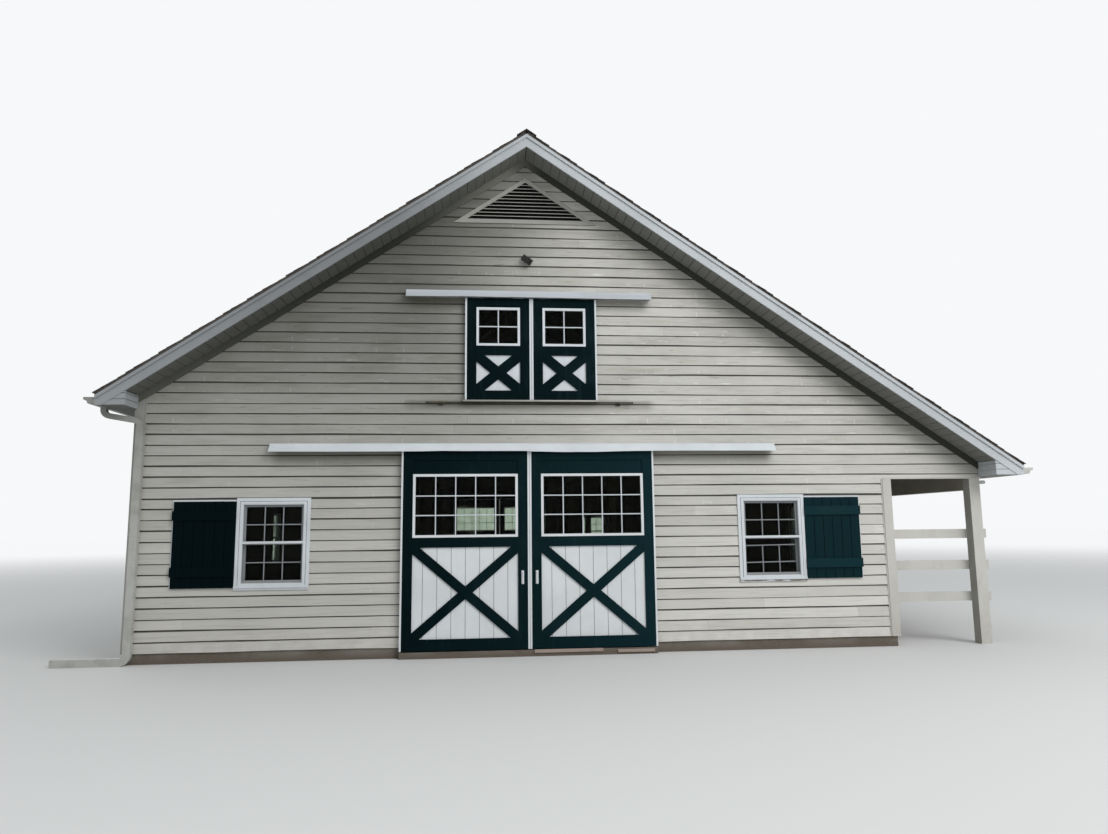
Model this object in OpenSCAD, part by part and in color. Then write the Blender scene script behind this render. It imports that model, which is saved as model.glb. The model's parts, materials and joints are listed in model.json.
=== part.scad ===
// Gable barn with a side porch, sliding doors and a loft
// Millimetres. X runs along the front, Y runs from the front to the back, Z is up.
// The origin is on the ground, on the doors' centre line, half way along the building.

/* [Building] */
// Width of the main block, outside of the side walls
barn_w = 11150; // [10600:50:12400]
// Length of the main block, outside of the gable walls
barn_l = 19500; // [15000:100:24000]
// Thickness of the walls
wall_t = 150; // [130:5:170]
// Height of the concrete foundation above the lowest ground
base_h = 150; // [120:5:250]
// Width of the foundation wall
base_w = 200; // [180:5:300]
// Step back of the foundation from the wall face
base_inset = 10; // [5:1:20]
// Height of the ground floor slab
floor_h = 90; // [70:5:110]
// Width of the porch, from the side wall to the outside of its posts
porch_w = 1477; // [1200:1:1700]
// Distance of the doors and end windows from the ridge line, towards the porch
axis_x = 32; // [0:1:60]

/* [Roof] */
// Pitch of both slopes, in degrees
roof_pitch = 34; // [33:0.5:35]
// Height of the rafter tops over the side walls
wall_h = 3940; // [3850:1:4000]
// Thickness of the deck and shingles
roof_t = 54; // [35:1:65]
// How far the roof runs out past the gable walls
rake_overhang = 460; // [350:10:600]
// How far the left eave runs out past the side wall
left_overhang = 385; // [350:5:500]
// How far the right eave runs out past the porch posts
right_overhang = 420; // [350:5:500]
// How far the shingles lap past the fascia
drip = 30; // [15:1:45]
// Clearance between sloping pieces that lie on each other
seat = 0.3; // [0.1:0.1:0.5]
// Width of each wing of the ridge cap
cap_w = 150; // [100:5:220]
// Thickness of the ridge cap
cap_t = 12; // [8:1:20]
// Depth of the rafters
rafter_d = 185; // [140:5:200]
// Width of the rafters and joists
rafter_w = 38; // [30:1:60]
// Spacing of the rafters along the building
rafter_step = 1200; // [900:50:1500]
// Depth of the ridge board
ridge_board_d = 235; // [200:5:285]

/* [Eaves] */
// Depth of the fascia board, square to the slope
fascia_d = 160; // [140:5:180]
// Thickness of the fascia board
fascia_t = 25; // [18:1:35]
// Height of the plumb cut at the foot of the fascia
fascia_end_h = 130; // [110:5:140]
// Thickness of the soffit panels
soffit_t = 12; // [8:1:18]
// Depth of the frieze board, square to the slope
frieze_d = 95; // [70:5:140]
// Width of the gutter
gutter_w = 150; // [110:5:170]
// Depth of the gutter
gutter_d = 90; // [70:5:110]
// Thickness of the gutter
gutter_t = 4; // [3:0.5:6]
// How far the gutter's rim lies under the rafter tops
gutter_drop = 24; // [22:1:35]
// Width of the downspout, seen from the front
pipe_w = 105; // [80:5:120]
// Depth of the downspout, from front to back
pipe_d = 76; // [60:2:100]
// Distance of the downspout from the corner of the building
pipe_in = 30; // [5:1:40]
// Width of the downspout over its lower bend
arm_w = 78; // [60:2:100]
// Space between the fascia and the top of the downspout
outlet_gap = 2; // [1:1:10]
// Bend radius of the downspout at its centre line
pipe_bend = 90; // [70:5:110]
// Length of the outlet pipe on the ground
outlet_len = 900; // [400:50:1500]

/* [Trim] */
// Thickness of corner boards, casings and frieze
trim_t = 25; // [22:1:35]
// Width of the corner boards
corner_w = 110; // [100:5:180]

/* [Windows] */
// Width of the window opening
window_w = 875; // [800:5:900]
// Height of the window opening
window_h = 1140; // [1000:10:1250]
// Height of the window opening above the ground
window_z = 1060; // [950:10:1200]
// Distance of the front windows' middle from the side walls
window_inset = 1925; // [1800:5:1975]
// Width of the window casing
casing_w = 76; // [60:1:85]
// Spacing of the windows along the side walls
side_window_step = 4200; // [3900:50:4500]
// Number of windows in each side wall
side_windows = 4; // [2:1:4]
// Width of the sash bars
sash_w = 32; // [28:1:50]
// Thickness of one sash
sash_t = 32; // [26:1:38]
// Thickness of the glass
glass_t = 4; // [3:1:6]
// How far the sill stands out past the casing
sill_out = 15; // [10:1:20]
// How far the sill runs on past the casing at each end
sill_ear = 0; // [0:1:4]
// Width of one shutter
shutter_w = 855; // [780:5:900]
// Height of the shutters
shutter_h = 1208; // [1050:1:1300]
// Thickness of the shutter boards
shutter_t = 34; // [28:1:45]
// Boards in one shutter
shutter_boards = 6; // [4:1:8]
// Space between the window's casing and its shutter
shutter_gap = 5; // [3:1:15]
// How far the shutter's middle lies under the window's middle
shutter_drop = 5; // [0:1:30]
// Height of a shutter batten
batten_h = 135; // [100:5:160]
// Thickness of a shutter batten
batten_t = 20; // [15:1:30]
// Distance of the upper batten's middle from the shutter's top
batten_in = 197; // [150:1:300]
// Height of the lower batten's middle above the shutter's foot
batten_low = 226; // [150:1:300]
// How far the battens run on past the shutter's outer edge
batten_out = 13; // [0:1:20]

/* [Sliding doors] */
// Width of one door leaf
leaf_w = 1850; // [1650:10:1950]
// Height of the door leaf
leaf_h = 2840; // [2700:10:2900]
// Thickness of the door leaf
leaf_t = 45; // [40:1:50]
// Space between the wall and the back of the leaf
leaf_gap = 55; // [50:1:70]
// Space under the leaf
leaf_lift = 15; // [10:1:25]
// Gap between the two leaves when shut
leaf_meet = 5; // [4:1:8]
// How far one leaf slides
door_travel = 1800; // [1600:10:1800]
// How far the leaf laps the wall beside its opening
leaf_lap = 70; // [40:5:90]
// Width of the leaf's stiles
stile_w = 142; // [90:2:160]
// Width of the white strip on the leaf's edges
strip_w = 26; // [20:1:35]
// Height of the bottom rail
bottom_rail = 160; // [120:5:180]
// Top of the boarded panel above the leaf's foot
panel_top = 1440; // [1300:10:1500]
// Height of the middle rail
mid_rail = 143; // [100:1:160]
// Height of the leaf's window
leaf_window_h = 912; // [800:2:1000]
// Height of the top rail
top_rail = 140; // [110:5:170]
// Width of the cross braces
brace_w = 136; // [110:2:170]
// Thickness of the cross braces and of the frame over the panel
brace_t = 20; // [15:1:24]
// How far one cross brace lies behind the other
brace_step = 3; // [2:1:6]
// How far the board over the leaf's window lies back
recess_t = 15; // [4:1:20]
// Width of the white frame round the leaf's window
leaf_frame_w = 36; // [35:1:55]
// How far the window frame stands out from the leaf
leaf_frame_out = 5; // [3:1:10]
// Width of one board of the grooved panel
board_w = 203; // [140:1:250]
// Width of the grooves in panels and shutters
groove_w = 9; // [4:1:12]
// Height of the pull handle's foot above the leaf's foot
pull_z = 910; // [800:10:1000]
// Length of the pull handle
pull_h = 190; // [150:5:250]

/* [Loft] */
// How far the loft floor lies under the rafter tops over the side walls
loft_drop = 280; // [240:1:320]
// Thickness of the loft floor boards
deck_t = 25; // [20:1:40]
// Depth of the loft joists
joist_d = 235; // [180:5:250]
// Spacing of the loft joists
joist_step = 1200; // [900:50:1500]
// Depth of the aisle beams
aisle_beam_d = 285; // [220:5:320]
// Width of the aisle posts and beams
aisle_post_w = 140; // [110:5:180]
// Distance of the aisle posts from the centre line
aisle_x = 1950; // [1900:10:2400]
// Spacing of the aisle posts
aisle_step = 3600; // [3000:50:3900]
// Distance of the loft doorway from the doors' centre line
loft_x = 27; // [0:1:40]
// How far the loft leaves are slid to the right in their doorway
loft_slip = 16; // [0:1:20]
// Width of one loft door leaf
loft_leaf_w = 987; // [850:1:1050]
// Height of the loft door leaf
loft_leaf_h = 1545; // [1450:5:1600]
// Height of the loft leaf's foot above the loft floor
loft_leaf_lift = 40; // [30:5:60]
// Width of the loft leaf's stiles
loft_stile_w = 142; // [80:1:160]
// Height of the loft leaf's bottom rail
loft_bottom_rail = 137; // [120:1:180]
// Width of the loft leaf's cross braces
loft_brace_w = 152; // [110:2:170]
// Top of the loft leaf's panel above its foot
loft_panel_top = 672; // [600:5:760]
// Height of the loft leaf's window
loft_window_h = 588; // [480:4:620]
// Depth of the ledge under the loft doors
ledge_d = 115; // [105:5:150]
// How far the ledge runs on past the loft leaves
ledge_end = 15; // [0:5:60]
// Thickness of the ledge
ledge_t = 20; // [16:1:25]
// Space between the ledge and the loft leaves' feet
ledge_gap = 6; // [5:1:12]
// Height of the guide rail under the ledge
guide_h = 24; // [20:1:45]
// Distance of the guide rail's front from the wall
guide_out = 62; // [50:1:90]
// Thickness of the guide rail
guide_t = 6; // [4:1:8]
// How far the guide rail runs on past the ledge
guide_end = 545; // [400:5:700]
// Length of one guide bracket
guide_bracket = 50; // [40:5:130]
// Width of one guide bracket
guide_plate = 60; // [40:5:100]

/* [Door tracks] */
// Width of the box track
track_w = 44; // [42:1:46]
// Height of the box track
track_h = 38; // [37:1:42]
// Thickness of the track steel
track_t = 3; // [2:0.5:3.5]
// Width of the slot in the bottom of the track
track_slot = 18; // [16:1:20]
// Radius of the trolley wheels
wheel_r = 14; // [12:0.5:14]
// Thickness of one trolley wheel
wheel_t = 10; // [8:1:11]
// Space between the wheels and the track
wheel_play = 0.3; // [0.2:0.1:0.5]
// Thickness of the hanger's stem
stem_t = 10; // [8:1:10]
// Space between the leaf's top edge and the track
track_lift = 15; // [12:1:20]
// Height of the cover's top above the leaf's top edge
cover_rise = 105; // [90:5:130]
// How far the cover runs on past the opened leaf
cover_end = 78; // [20:1:120]
// Height of the loft cover's top above the loft leaf's top edge
loft_cover_rise = 123; // [90:1:130]
// Half of the loft cover's length
loft_cover_half = 1854; // [1700:1:2000]
// Height of the track cover
cover_h = 125; // [110:5:150]
// How far the foot of the track cover stands off the wall
cover_out = 175; // [165:5:210]
// Thickness of the track cover
cover_t = 12; // [8:1:14]

/* [Gable] */
// Distance of the louvred vent's tip under the ridge
vent_drop = 498; // [450:2:600]
// Half of the vent's width
vent_half = 1100; // [900:10:1150]
// Width of the vent's frame
vent_frame = 60; // [45:1:80]
// Spacing of the vent's slats
slat_step = 56; // [50:1:100]
// Distance of the floodlight under the vent
flood_drop = 587; // [450:1:700]
// Width of the floodlight
flood_w = 165; // [120:5:260]
// Height of the floodlight's housing
flood_h = 90; // [80:5:200]
// Depth of the floodlight's housing
flood_d = 60; // [45:1:90]
// Distance of the floodlight from the doors' centre line
flood_aside = 9; // [0:1:20]
// Radius of one lamp of the twin light
lamp_r = 27; // [22:1:29]
// Length of one lamp of the twin light
lamp_len = 75; // [60:1:95]
// Distance of the first lamp from the porch post
lamp_out = 36; // [34:1:45]
// Spacing of the two lamps
lamp_step = 56; // [56:1:80]
// Distance of the twin light under the porch beam
lamp_drop = 54; // [45:1:80]

/* [Porch] */
// How far the boarding over the porch runs down past the eave
apron_drop = 30; // [20:1:90]
// Size of the square porch posts
post_w = 170; // [140:5:190]
// How far the beam over the porch posts runs down past the boarding
header_drop = 170; // [100:5:220]
// Spacing of the porch posts
post_step = 3832; // [3600:1:4000]
// Height of one porch rail
rail_h = 140; // [110:5:160]
// Thickness of the porch rails
rail_t = 38; // [30:1:45]
// How far the rails run on past the posts' outer faces
rail_past = 58; // [0:2:80]
// Number of porch rails
rails = 3; // [2:1:4]
// Centre of the lowest rail
rail_z = 700; // [600:10:750]
// Distance between rails
rail_step = 478; // [400:2:480]

/* [Hidden] */

eps = 1;
cream = [0.84, 0.83, 0.76];
white = [0.93, 0.94, 0.94];
green = [0.05, 0.12, 0.13];
shingle = [0.24, 0.21, 0.19];
timber = [0.62, 0.50, 0.36];
concrete = [0.55, 0.51, 0.46];
steel = [0.60, 0.61, 0.62];
glass = [0.25, 0.30, 0.32, 0.5];

// Main places across the building
half_w = barn_w / 2;
window_x = half_w - window_inset;
front_y = -barn_l / 2;
porch_x = half_w + porch_w;
left_tip = half_w + left_overhang;
right_tip = porch_x + right_overhang;
slope = tan(roof_pitch);
ridge_h = wall_h + half_w * slope;

// Depths square to the slope, turned into upright depths
roof_v = roof_t / cos(roof_pitch);
cap_v = cap_t / cos(roof_pitch);
fascia_v = fascia_d / cos(roof_pitch);
frieze_v = frieze_d / cos(roof_pitch);
soffit_v = soffit_t / cos(roof_pitch);
rafter_v = rafter_d / cos(roof_pitch);
vent_frame_v = vent_frame / cos(roof_pitch);

// Height of the rafter tops at a distance from the ridge
function roof_z(x) = ridge_h - abs(x) * slope;
left_eave_z = roof_z(left_tip) - fascia_end_h;
right_eave_z = roof_z(right_tip) - fascia_end_h;

// Loft and porch heights
loft_z = wall_h - loft_drop;
apron_z = right_eave_z - apron_drop;
header_z = apron_z - header_drop;

// Doorway and leaves, with heights above the ground
leaf_z = floor_h + leaf_lift;
leaf_top = leaf_z + leaf_h;
door_half = leaf_w - leaf_lap;
door_head = leaf_top - leaf_lap / 2;
leaf_mid_y = -leaf_gap - leaf_t / 2;
loft_leaf_z = loft_z + loft_leaf_lift;
loft_leaf_top = loft_leaf_z + loft_leaf_h;
ledge_z = loft_leaf_z - ledge_gap;
loft_door_half = loft_leaf_w - leaf_lap;
loft_head = loft_leaf_top - leaf_lap / 2;
cover_half = leaf_meet / 2 + leaf_w + door_travel + cover_end;
cover_top = leaf_top + cover_rise;
loft_cover_top = loft_leaf_top + loft_cover_rise;
ledge_half = leaf_meet / 2 + loft_leaf_w + ledge_end;

// Places for the building's two ends
module at_front() {
  translate([0, front_y, 0]) children();
}
module at_back() {
  mirror([0, 1, 0]) at_front() children();
}
module at_both() {
  at_front() children();
  at_back() children();
}

// An outline drawn in X and Z, from y0 and t thick towards the back
module upright(y0, t) {
  translate([0, y0 + t, 0]) rotate([90, 0, 0]) linear_extrude(t) children();
}

// An outline drawn in Y and Z, from x0 and len long towards the right
module along_x(x0, len) {
  translate([x0, 0, 0]) rotate([90, 0, 90]) linear_extrude(len) children();
}

// Places on the doors' centre line and on the loft doorway's
module on_axis() {
  translate([axis_x, 0, 0]) children();
}
module on_loft() {
  translate([axis_x + loft_x, 0, 0]) children();
}

// A box from one corner to the opposite one
module block(low, high) {
  translate(low) cube(high - low);
}

// A band that follows both slopes, between two depths under the rafter tops
module chevron(x_left, x_right, depth_top, depth_low) {
  polygon([
    [-x_left, roof_z(x_left) - depth_top],
    [0, ridge_h - depth_top],
    [x_right, roof_z(x_right) - depth_top],
    [x_right, roof_z(x_right) - depth_low],
    [0, ridge_h - depth_low],
    [-x_left, roof_z(x_left) - depth_low]
  ]);
}

// Foundation and floors
module foundation() {
  out_x = half_w - base_inset;
  out_y = barn_l / 2 - base_inset;
  color(concrete) difference() {
    block([-out_x, -out_y, 0], [out_x, out_y, base_h]);
    block([-out_x + base_w, -out_y + base_w, -eps], [out_x - base_w, out_y - base_w, base_h + eps]);
    at_both() on_axis()
      block([-door_half, -eps, -eps], [door_half, base_inset + base_w + eps, base_h + eps]);
  }
}

module door_sills() {
  color(concrete) at_both() on_axis() {
    block([-leaf_w, -leaf_gap - leaf_t, 0], [leaf_w, base_inset, floor_h]);
    block([-door_half, base_inset, 0], [door_half, base_inset + base_w, floor_h]);
  }
}

module ground_floor() {
  in_x = half_w - base_inset - base_w;
  in_y = barn_l / 2 - base_inset - base_w;
  color(concrete) block([-in_x, -in_y, 0], [in_x, in_y, floor_h]);
}

// Walls of the two gable ends
module window_hole() {
  block([-window_w / 2, -eps, window_z], [window_w / 2, wall_t + eps, window_z + window_h]);
}

module end_wall() {
  for (side = [-1, 1])
    difference() {
      block(
        [side < 0 ? -half_w : axis_x + door_half, 0, base_h],
        [side < 0 ? axis_x - door_half : half_w, wall_t, door_head]
      );
      translate([axis_x + side * window_x, 0, 0]) window_hole();
    }
}

module end_gable() {
  difference() {
    upright(0, wall_t) polygon([
      [-half_w, door_head],
      [half_w, door_head],
      [half_w, apron_z],
      [porch_x, apron_z],
      [porch_x, roof_z(porch_x)],
      [0, ridge_h],
      [-half_w, roof_z(half_w)]
    ]);
    on_loft() block([-loft_door_half, -eps, loft_z], [loft_door_half, wall_t + eps, loft_head]);
    upright(-eps, wall_t + 2 * eps) vent_outline(vent_frame);
  }
}

module front_wall() {
  color(cream) at_front() end_wall();
}
module front_gable() {
  color(cream) at_front() end_gable();
}
module back_wall() {
  color(cream) at_back() end_wall();
}
module back_gable() {
  color(cream) at_back() end_gable();
}

// Side walls, with their tops cut to the rafters
module side_wall(side) {
  in_x = half_w - wall_t;
  difference() {
    upright(front_y + wall_t, barn_l - 2 * wall_t) polygon([
      [side * half_w, base_h],
      [side * half_w, roof_z(half_w) - rafter_v - seat],
      [side * in_x, roof_z(in_x) - rafter_v - seat],
      [side * in_x, base_h]
    ]);
    side_places(side) window_hole();
  }
}

// Window places in a side wall, with the outside towards -Y
module side_places(side) {
  for (i = [0 : side_windows - 1])
    translate([side * half_w, (i - (side_windows - 1) / 2) * side_window_step, 0])
      rotate([0, 0, side * 90]) children();
}

module left_wall() {
  color(cream) side_wall(-1);
}
module right_wall() {
  color(cream) side_wall(1);
}

// Loft and its carriers
module loft_floor() {
  in_x = half_w - wall_t;
  in_y = barn_l / 2 - wall_t;
  color(timber) block([-in_x, -in_y, loft_z - deck_t], [in_x, in_y, loft_z]);
}

joist_top = loft_z - deck_t;
joist_low = joist_top - joist_d;
beam_low = joist_low - aisle_beam_d;

// Evenly spaced places along the inside, with one at each end
module spread(step, in_from_end) {
  run = barn_l - 2 * in_from_end;
  bays = round(run / step);
  for (i = [0 : bays])
    translate([0, -run / 2 + i * run / bays, 0]) children();
}

module loft_joists() {
  in_x = half_w - wall_t;
  color(timber) spread(joist_step, wall_t + rafter_w / 2)
    block([-in_x, -rafter_w / 2, joist_low], [in_x, rafter_w / 2, joist_top]);
}

module aisle_beams() {
  in_y = barn_l / 2 - wall_t;
  color(timber) for (side = [-1, 1])
    translate([side * aisle_x, 0, 0])
      block([-aisle_post_w / 2, -in_y, beam_low], [aisle_post_w / 2, in_y, joist_low]);
}

module aisle_posts() {
  color(timber) spread(aisle_step, wall_t + aisle_post_w + base_w)
    for (side = [-1, 1])
      translate([side * aisle_x, 0, 0])
        block(
          [-aisle_post_w / 2, -aisle_post_w / 2, floor_h],
          [aisle_post_w / 2, aisle_post_w / 2, beam_low]
        );
}

// Roof frame
module rafter(side, tip, eave_z) {
  tail = tip - fascia_t;
  low_x = (ridge_h - rafter_v - eave_z - soffit_t) / slope;
  upright(-rafter_w / 2, rafter_w) polygon([
    [side * rafter_w / 2, roof_z(rafter_w / 2)],
    [side * tail, roof_z(tail)],
    [side * tail, eave_z + soffit_t],
    [side * low_x, eave_z + soffit_t],
    [side * rafter_w / 2, roof_z(rafter_w / 2) - rafter_v]
  ]);
}

module rafters() {
  color(timber) spread(rafter_step, wall_t + rafter_w / 2) {
    rafter(-1, left_tip, left_eave_z);
    rafter(1, right_tip, right_eave_z);
  }
}

module ridge_board() {
  color(timber) upright(front_y + wall_t, barn_l - 2 * wall_t) polygon([
    [-rafter_w / 2, roof_z(rafter_w / 2)],
    [0, ridge_h],
    [rafter_w / 2, roof_z(rafter_w / 2)],
    [rafter_w / 2, ridge_h - ridge_board_d],
    [-rafter_w / 2, ridge_h - ridge_board_d]
  ]);
}

// Roof skins
module roof_slope(side, tip) {
  edge = tip + drip;
  reach = rake_overhang + drip;
  translate([0, 0, seat]) upright(front_y - reach, barn_l + 2 * reach) polygon([
    [0, ridge_h],
    [side * edge, roof_z(edge)],
    [side * edge, roof_z(edge) + roof_v],
    [0, ridge_h + roof_v]
  ]);
}

module roof_left() {
  color(shingle) roof_slope(-1, left_tip);
}
module roof_right() {
  color(shingle) roof_slope(1, right_tip);
}

module ridge_cap() {
  reach = rake_overhang + drip;
  color(shingle) translate([0, 0, 2 * seat]) upright(front_y - reach, barn_l + 2 * reach)
    chevron(cap_w, cap_w, -roof_v - cap_v, -roof_v);
}

// Rake and eave boards
module rake_fascia() {
  cut = (fascia_v - fascia_end_h) / slope;
  upright(-rake_overhang, fascia_t) polygon([
    [-left_tip, left_eave_z],
    [-left_tip, roof_z(left_tip)],
    [0, ridge_h],
    [right_tip, roof_z(right_tip)],
    [right_tip, right_eave_z],
    [right_tip - cut, right_eave_z],
    [0, ridge_h - fascia_v],
    [-left_tip + cut, left_eave_z]
  ]);
}

module rake_fascias() {
  color(white) at_both() rake_fascia();
}

module eave_fascia(side, tip, eave_z) {
  reach = rake_overhang - fascia_t;
  upright(front_y - reach, barn_l + 2 * reach) polygon([
    [side * tip, eave_z],
    [side * tip, roof_z(tip)],
    [side * (tip - fascia_t), roof_z(tip - fascia_t)],
    [side * (tip - fascia_t), eave_z]
  ]);
}

module eave_fascias() {
  color(white) {
    eave_fascia(-1, left_tip, left_eave_z);
    eave_fascia(1, right_tip, right_eave_z);
  }
}

module rake_soffits() {
  color(white) at_both() upright(-rake_overhang + fascia_t, rake_overhang - fascia_t)
    chevron(half_w, porch_x, fascia_v - soffit_v, fascia_v);
}

// The level panel under an eave runs on under the return at each end
module eave_soffit(side, wall_x, tip, eave_z) {
  reach = rake_overhang - fascia_t;
  x0 = side < 0 ? -tip + fascia_t : wall_x;
  x1 = side < 0 ? -wall_x : tip - fascia_t;
  block([x0, front_y - reach, eave_z], [x1, -front_y + reach, eave_z + soffit_t]);
}

module eave_soffits() {
  color(white) {
    eave_soffit(-1, half_w, left_tip, left_eave_z);
    eave_soffit(1, porch_x, right_tip, right_eave_z);
  }
}

// The boxed return closes the corner between the rake and the eave
module eave_return(side, wall_x, tip, eave_z) {
  foot_x = min((ridge_h - fascia_v - eave_z - soffit_t) / slope, tip - fascia_t);
  upright(-rake_overhang + fascia_t, rake_overhang - fascia_t) polygon([
    [side * wall_x, eave_z + soffit_t],
    [side * foot_x, eave_z + soffit_t],
    [side * foot_x, roof_z(foot_x) - fascia_v],
    [side * wall_x, roof_z(wall_x) - fascia_v]
  ]);
}

module eave_returns() {
  color(white) at_both() {
    eave_return(-1, half_w, left_tip, left_eave_z);
    eave_return(1, porch_x, right_tip, right_eave_z);
  }
}

module frieze_boards() {
  color(cream) at_both() upright(-trim_t, trim_t)
    chevron(half_w, porch_x, fascia_v, fascia_v + frieze_v);
}

// Corner boards wrap the corners of the main block
module corner_board(side, front_top, side_top) {
  frieze_foot = roof_z(half_w) - fascia_v - frieze_v - seat;
  scale([side, 1, 1]) {
    upright(-trim_t, trim_t) polygon([
      [half_w - corner_w, base_h],
      [half_w, base_h],
      [half_w, min(front_top, frieze_foot)],
      [half_w - corner_w, min(front_top, frieze_foot + corner_w * slope)]
    ]);
    block([half_w, -trim_t, base_h], [half_w + trim_t, corner_w - trim_t, side_top]);
  }
}

module corner_boards() {
  color(cream) at_both() {
    corner_board(-1, ridge_h, left_eave_z);
    corner_board(1, apron_z, apron_z);
  }
}

// Gutters, open at the top and closed at both ends
module gutter_outline(t) {
  polygon([
    [t, t > 0 ? eps : 0],
    [t, t - gutter_d],
    [gutter_w * 0.6 - t / 2, t - gutter_d],
    [gutter_w * 0.68 - t, -gutter_d * 0.62 + t / 2],
    [gutter_w - t, -gutter_d * 0.36 + t / 2],
    [gutter_w - t, t > 0 ? eps : 0]
  ]);
}

module gutter(side, tip) {
  reach = rake_overhang;
  run = barn_l + 2 * reach;
  translate([side * tip, 0, roof_z(tip) - gutter_drop]) scale([side, 1, 1]) difference() {
    upright(front_y - reach, run) gutter_outline(0);
    upright(front_y - reach + gutter_t, run - 2 * gutter_t) gutter_outline(gutter_t);
  }
}

module gutters() {
  color(white) {
    gutter(-1, left_tip);
    gutter(1, right_tip);
  }
}

// A quarter or part turn of the downspout, in its own plane
module bend_outline(turn, w) {
  intersection() {
    difference() {
      circle(r = pipe_bend + w / 2, $fn = 48);
      circle(r = pipe_bend - w / 2, $fn = 48);
    }
    polygon([
      [0, 0],
      [3 * pipe_bend, 0],
      [3 * pipe_bend, 3 * pipe_bend * tan(turn / 2)],
      [3 * pipe_bend * cos(turn), 3 * pipe_bend * sin(turn)]
    ]);
  }
}

// Downspout, drawn in its own plane from the gutter's outlet down to the ground.
// It sets off towards the wall by shift, and its mouth points away from the wall.
pipe_turn = 80;
pipe_drop = 30;

module downspout_outline(top, shift) {
  side_step = pipe_bend * (1 - cos(pipe_turn));
  down_step = pipe_bend * sin(pipe_turn);
  run = (shift - 2 * side_step) / sin(pipe_turn);
  low_z = top - pipe_drop - 2 * down_step - run * cos(pipe_turn);
  foot_z = pipe_w / 2 + pipe_bend;
  translate([-arm_w / 2, top - pipe_drop]) square([arm_w, pipe_drop]);
  translate([pipe_bend, top - pipe_drop]) rotate(180) bend_outline(pipe_turn, arm_w);
  translate([side_step, top - pipe_drop - down_step]) rotate(pipe_turn)
    translate([-arm_w / 2, -run]) square([arm_w, run]);
  translate([shift - pipe_bend, low_z]) bend_outline(pipe_turn, arm_w);
  translate([shift - pipe_w / 2, foot_z]) square([pipe_w, low_z - foot_z]);
  translate([shift - pipe_bend, foot_z]) rotate(-90) bend_outline(90, pipe_w);
  translate([shift - pipe_bend - outlet_len, 0]) square([outlet_len, pipe_w]);
}

module downspout(side, tip, corner_x, back_y) {
  outlet_x = tip + outlet_gap + arm_w / 2;
  top = roof_z(tip) - gutter_drop - gutter_d;
  wall = 5;
  mouth_x = -corner_x - pipe_bend - outlet_len;
  scale([-side, 1, 1]) difference() {
    translate([-outlet_x, 0, 0])
      upright(back_y - pipe_d, pipe_d) downspout_outline(top, outlet_x - corner_x);
    block(
      [mouth_x - eps, back_y - pipe_d + wall, wall],
      [mouth_x + pipe_w, back_y - wall, pipe_w - wall]
    );
  }
}

module downspouts() {
  color(white) {
    at_front() downspout(-1, left_tip, half_w - pipe_w / 2 - pipe_in, -trim_t);
    at_back() downspout(1, right_tip, porch_x - post_w / 2, 0);
  }
}

// Box track: a channel with a slot along its foot for the hangers
module track(half, foot_z) {
  translate([0, leaf_mid_y, foot_z]) along_x(-half, 2 * half) difference() {
    translate([-track_w / 2, 0]) square([track_w, track_h]);
    translate([-track_w / 2 + track_t, track_t]) square([track_w - 2 * track_t, track_h - 2 * track_t]);
    translate([-track_slot / 2, -eps]) square([track_slot, track_t + 2 * eps]);
  }
}

// Guide rail under the loft ledge: an angle with a bracket on the wall at each end
module loft_guide() {
  half = ledge_half + guide_end;
  top = ledge_z - ledge_t;
  block([-half, -guide_out, top - guide_h], [half, -guide_out + guide_t, top]);
  for (side = [-1, 1])
    translate([side * (half - guide_end * 0.41), 0, 0]) {
      block([-guide_plate / 2, -guide_out + guide_t, top - guide_t], [guide_plate / 2, 0, top]);
      block([-guide_plate / 2, -trim_t, top - guide_bracket], [guide_plate / 2, 0, top - guide_t]);
    }
}

module door_tracks() {
  color(steel) at_both() {
    on_axis() track(cover_half - cover_t, leaf_top + track_lift);
    on_loft() {
      track(loft_cover_half - cover_t, loft_leaf_top + track_lift);
      loft_guide();
    }
  }
}

// Track cover: ledger, top board and sloping face, closed at both ends
module cover_outline(top, foot_z) {
  lean = cover_out / 2;
  ledger_y = leaf_mid_y + track_w / 2;
  polygon([
    [0, top],
    [-lean, top],
    [-cover_out, top - cover_h],
    [-cover_out + cover_t, top - cover_h],
    [-lean + cover_t / 2, top - cover_t],
    [ledger_y, top - cover_t],
    [ledger_y, foot_z],
    [0, foot_z]
  ]);
}

module cover_end_outline(top, foot_z) {
  polygon([
    [0, top],
    [-cover_out / 2, top],
    [-cover_out, top - cover_h],
    [-cover_out + cover_t, top - cover_h],
    [0, foot_z]
  ]);
}

module track_cover(half, top, foot_z) {
  along_x(-half, 2 * half) cover_outline(top, foot_z);
  for (x = [-half, half - cover_t])
    along_x(x, cover_t) cover_end_outline(top, foot_z);
}

module track_covers() {
  color(white) at_both() {
    on_axis() track_cover(cover_half, cover_top, leaf_top + track_lift);
    on_loft() track_cover(loft_cover_half, loft_cover_top, loft_leaf_top + track_lift);
  }
}

// Leaves are drawn with x from the meeting edge outwards, y = 0 at their back,
// the front towards -Y and z = 0 at their foot
module leaf_place(side, foot_z) {
  translate([axis_x + side * leaf_meet / 2, -leaf_gap, foot_z]) scale([side, 1, 1]) children();
}
module loft_leaf_place(side) {
  translate([loft_x + loft_slip, 0, 0]) leaf_place(side, loft_leaf_z) children();
}

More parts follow.
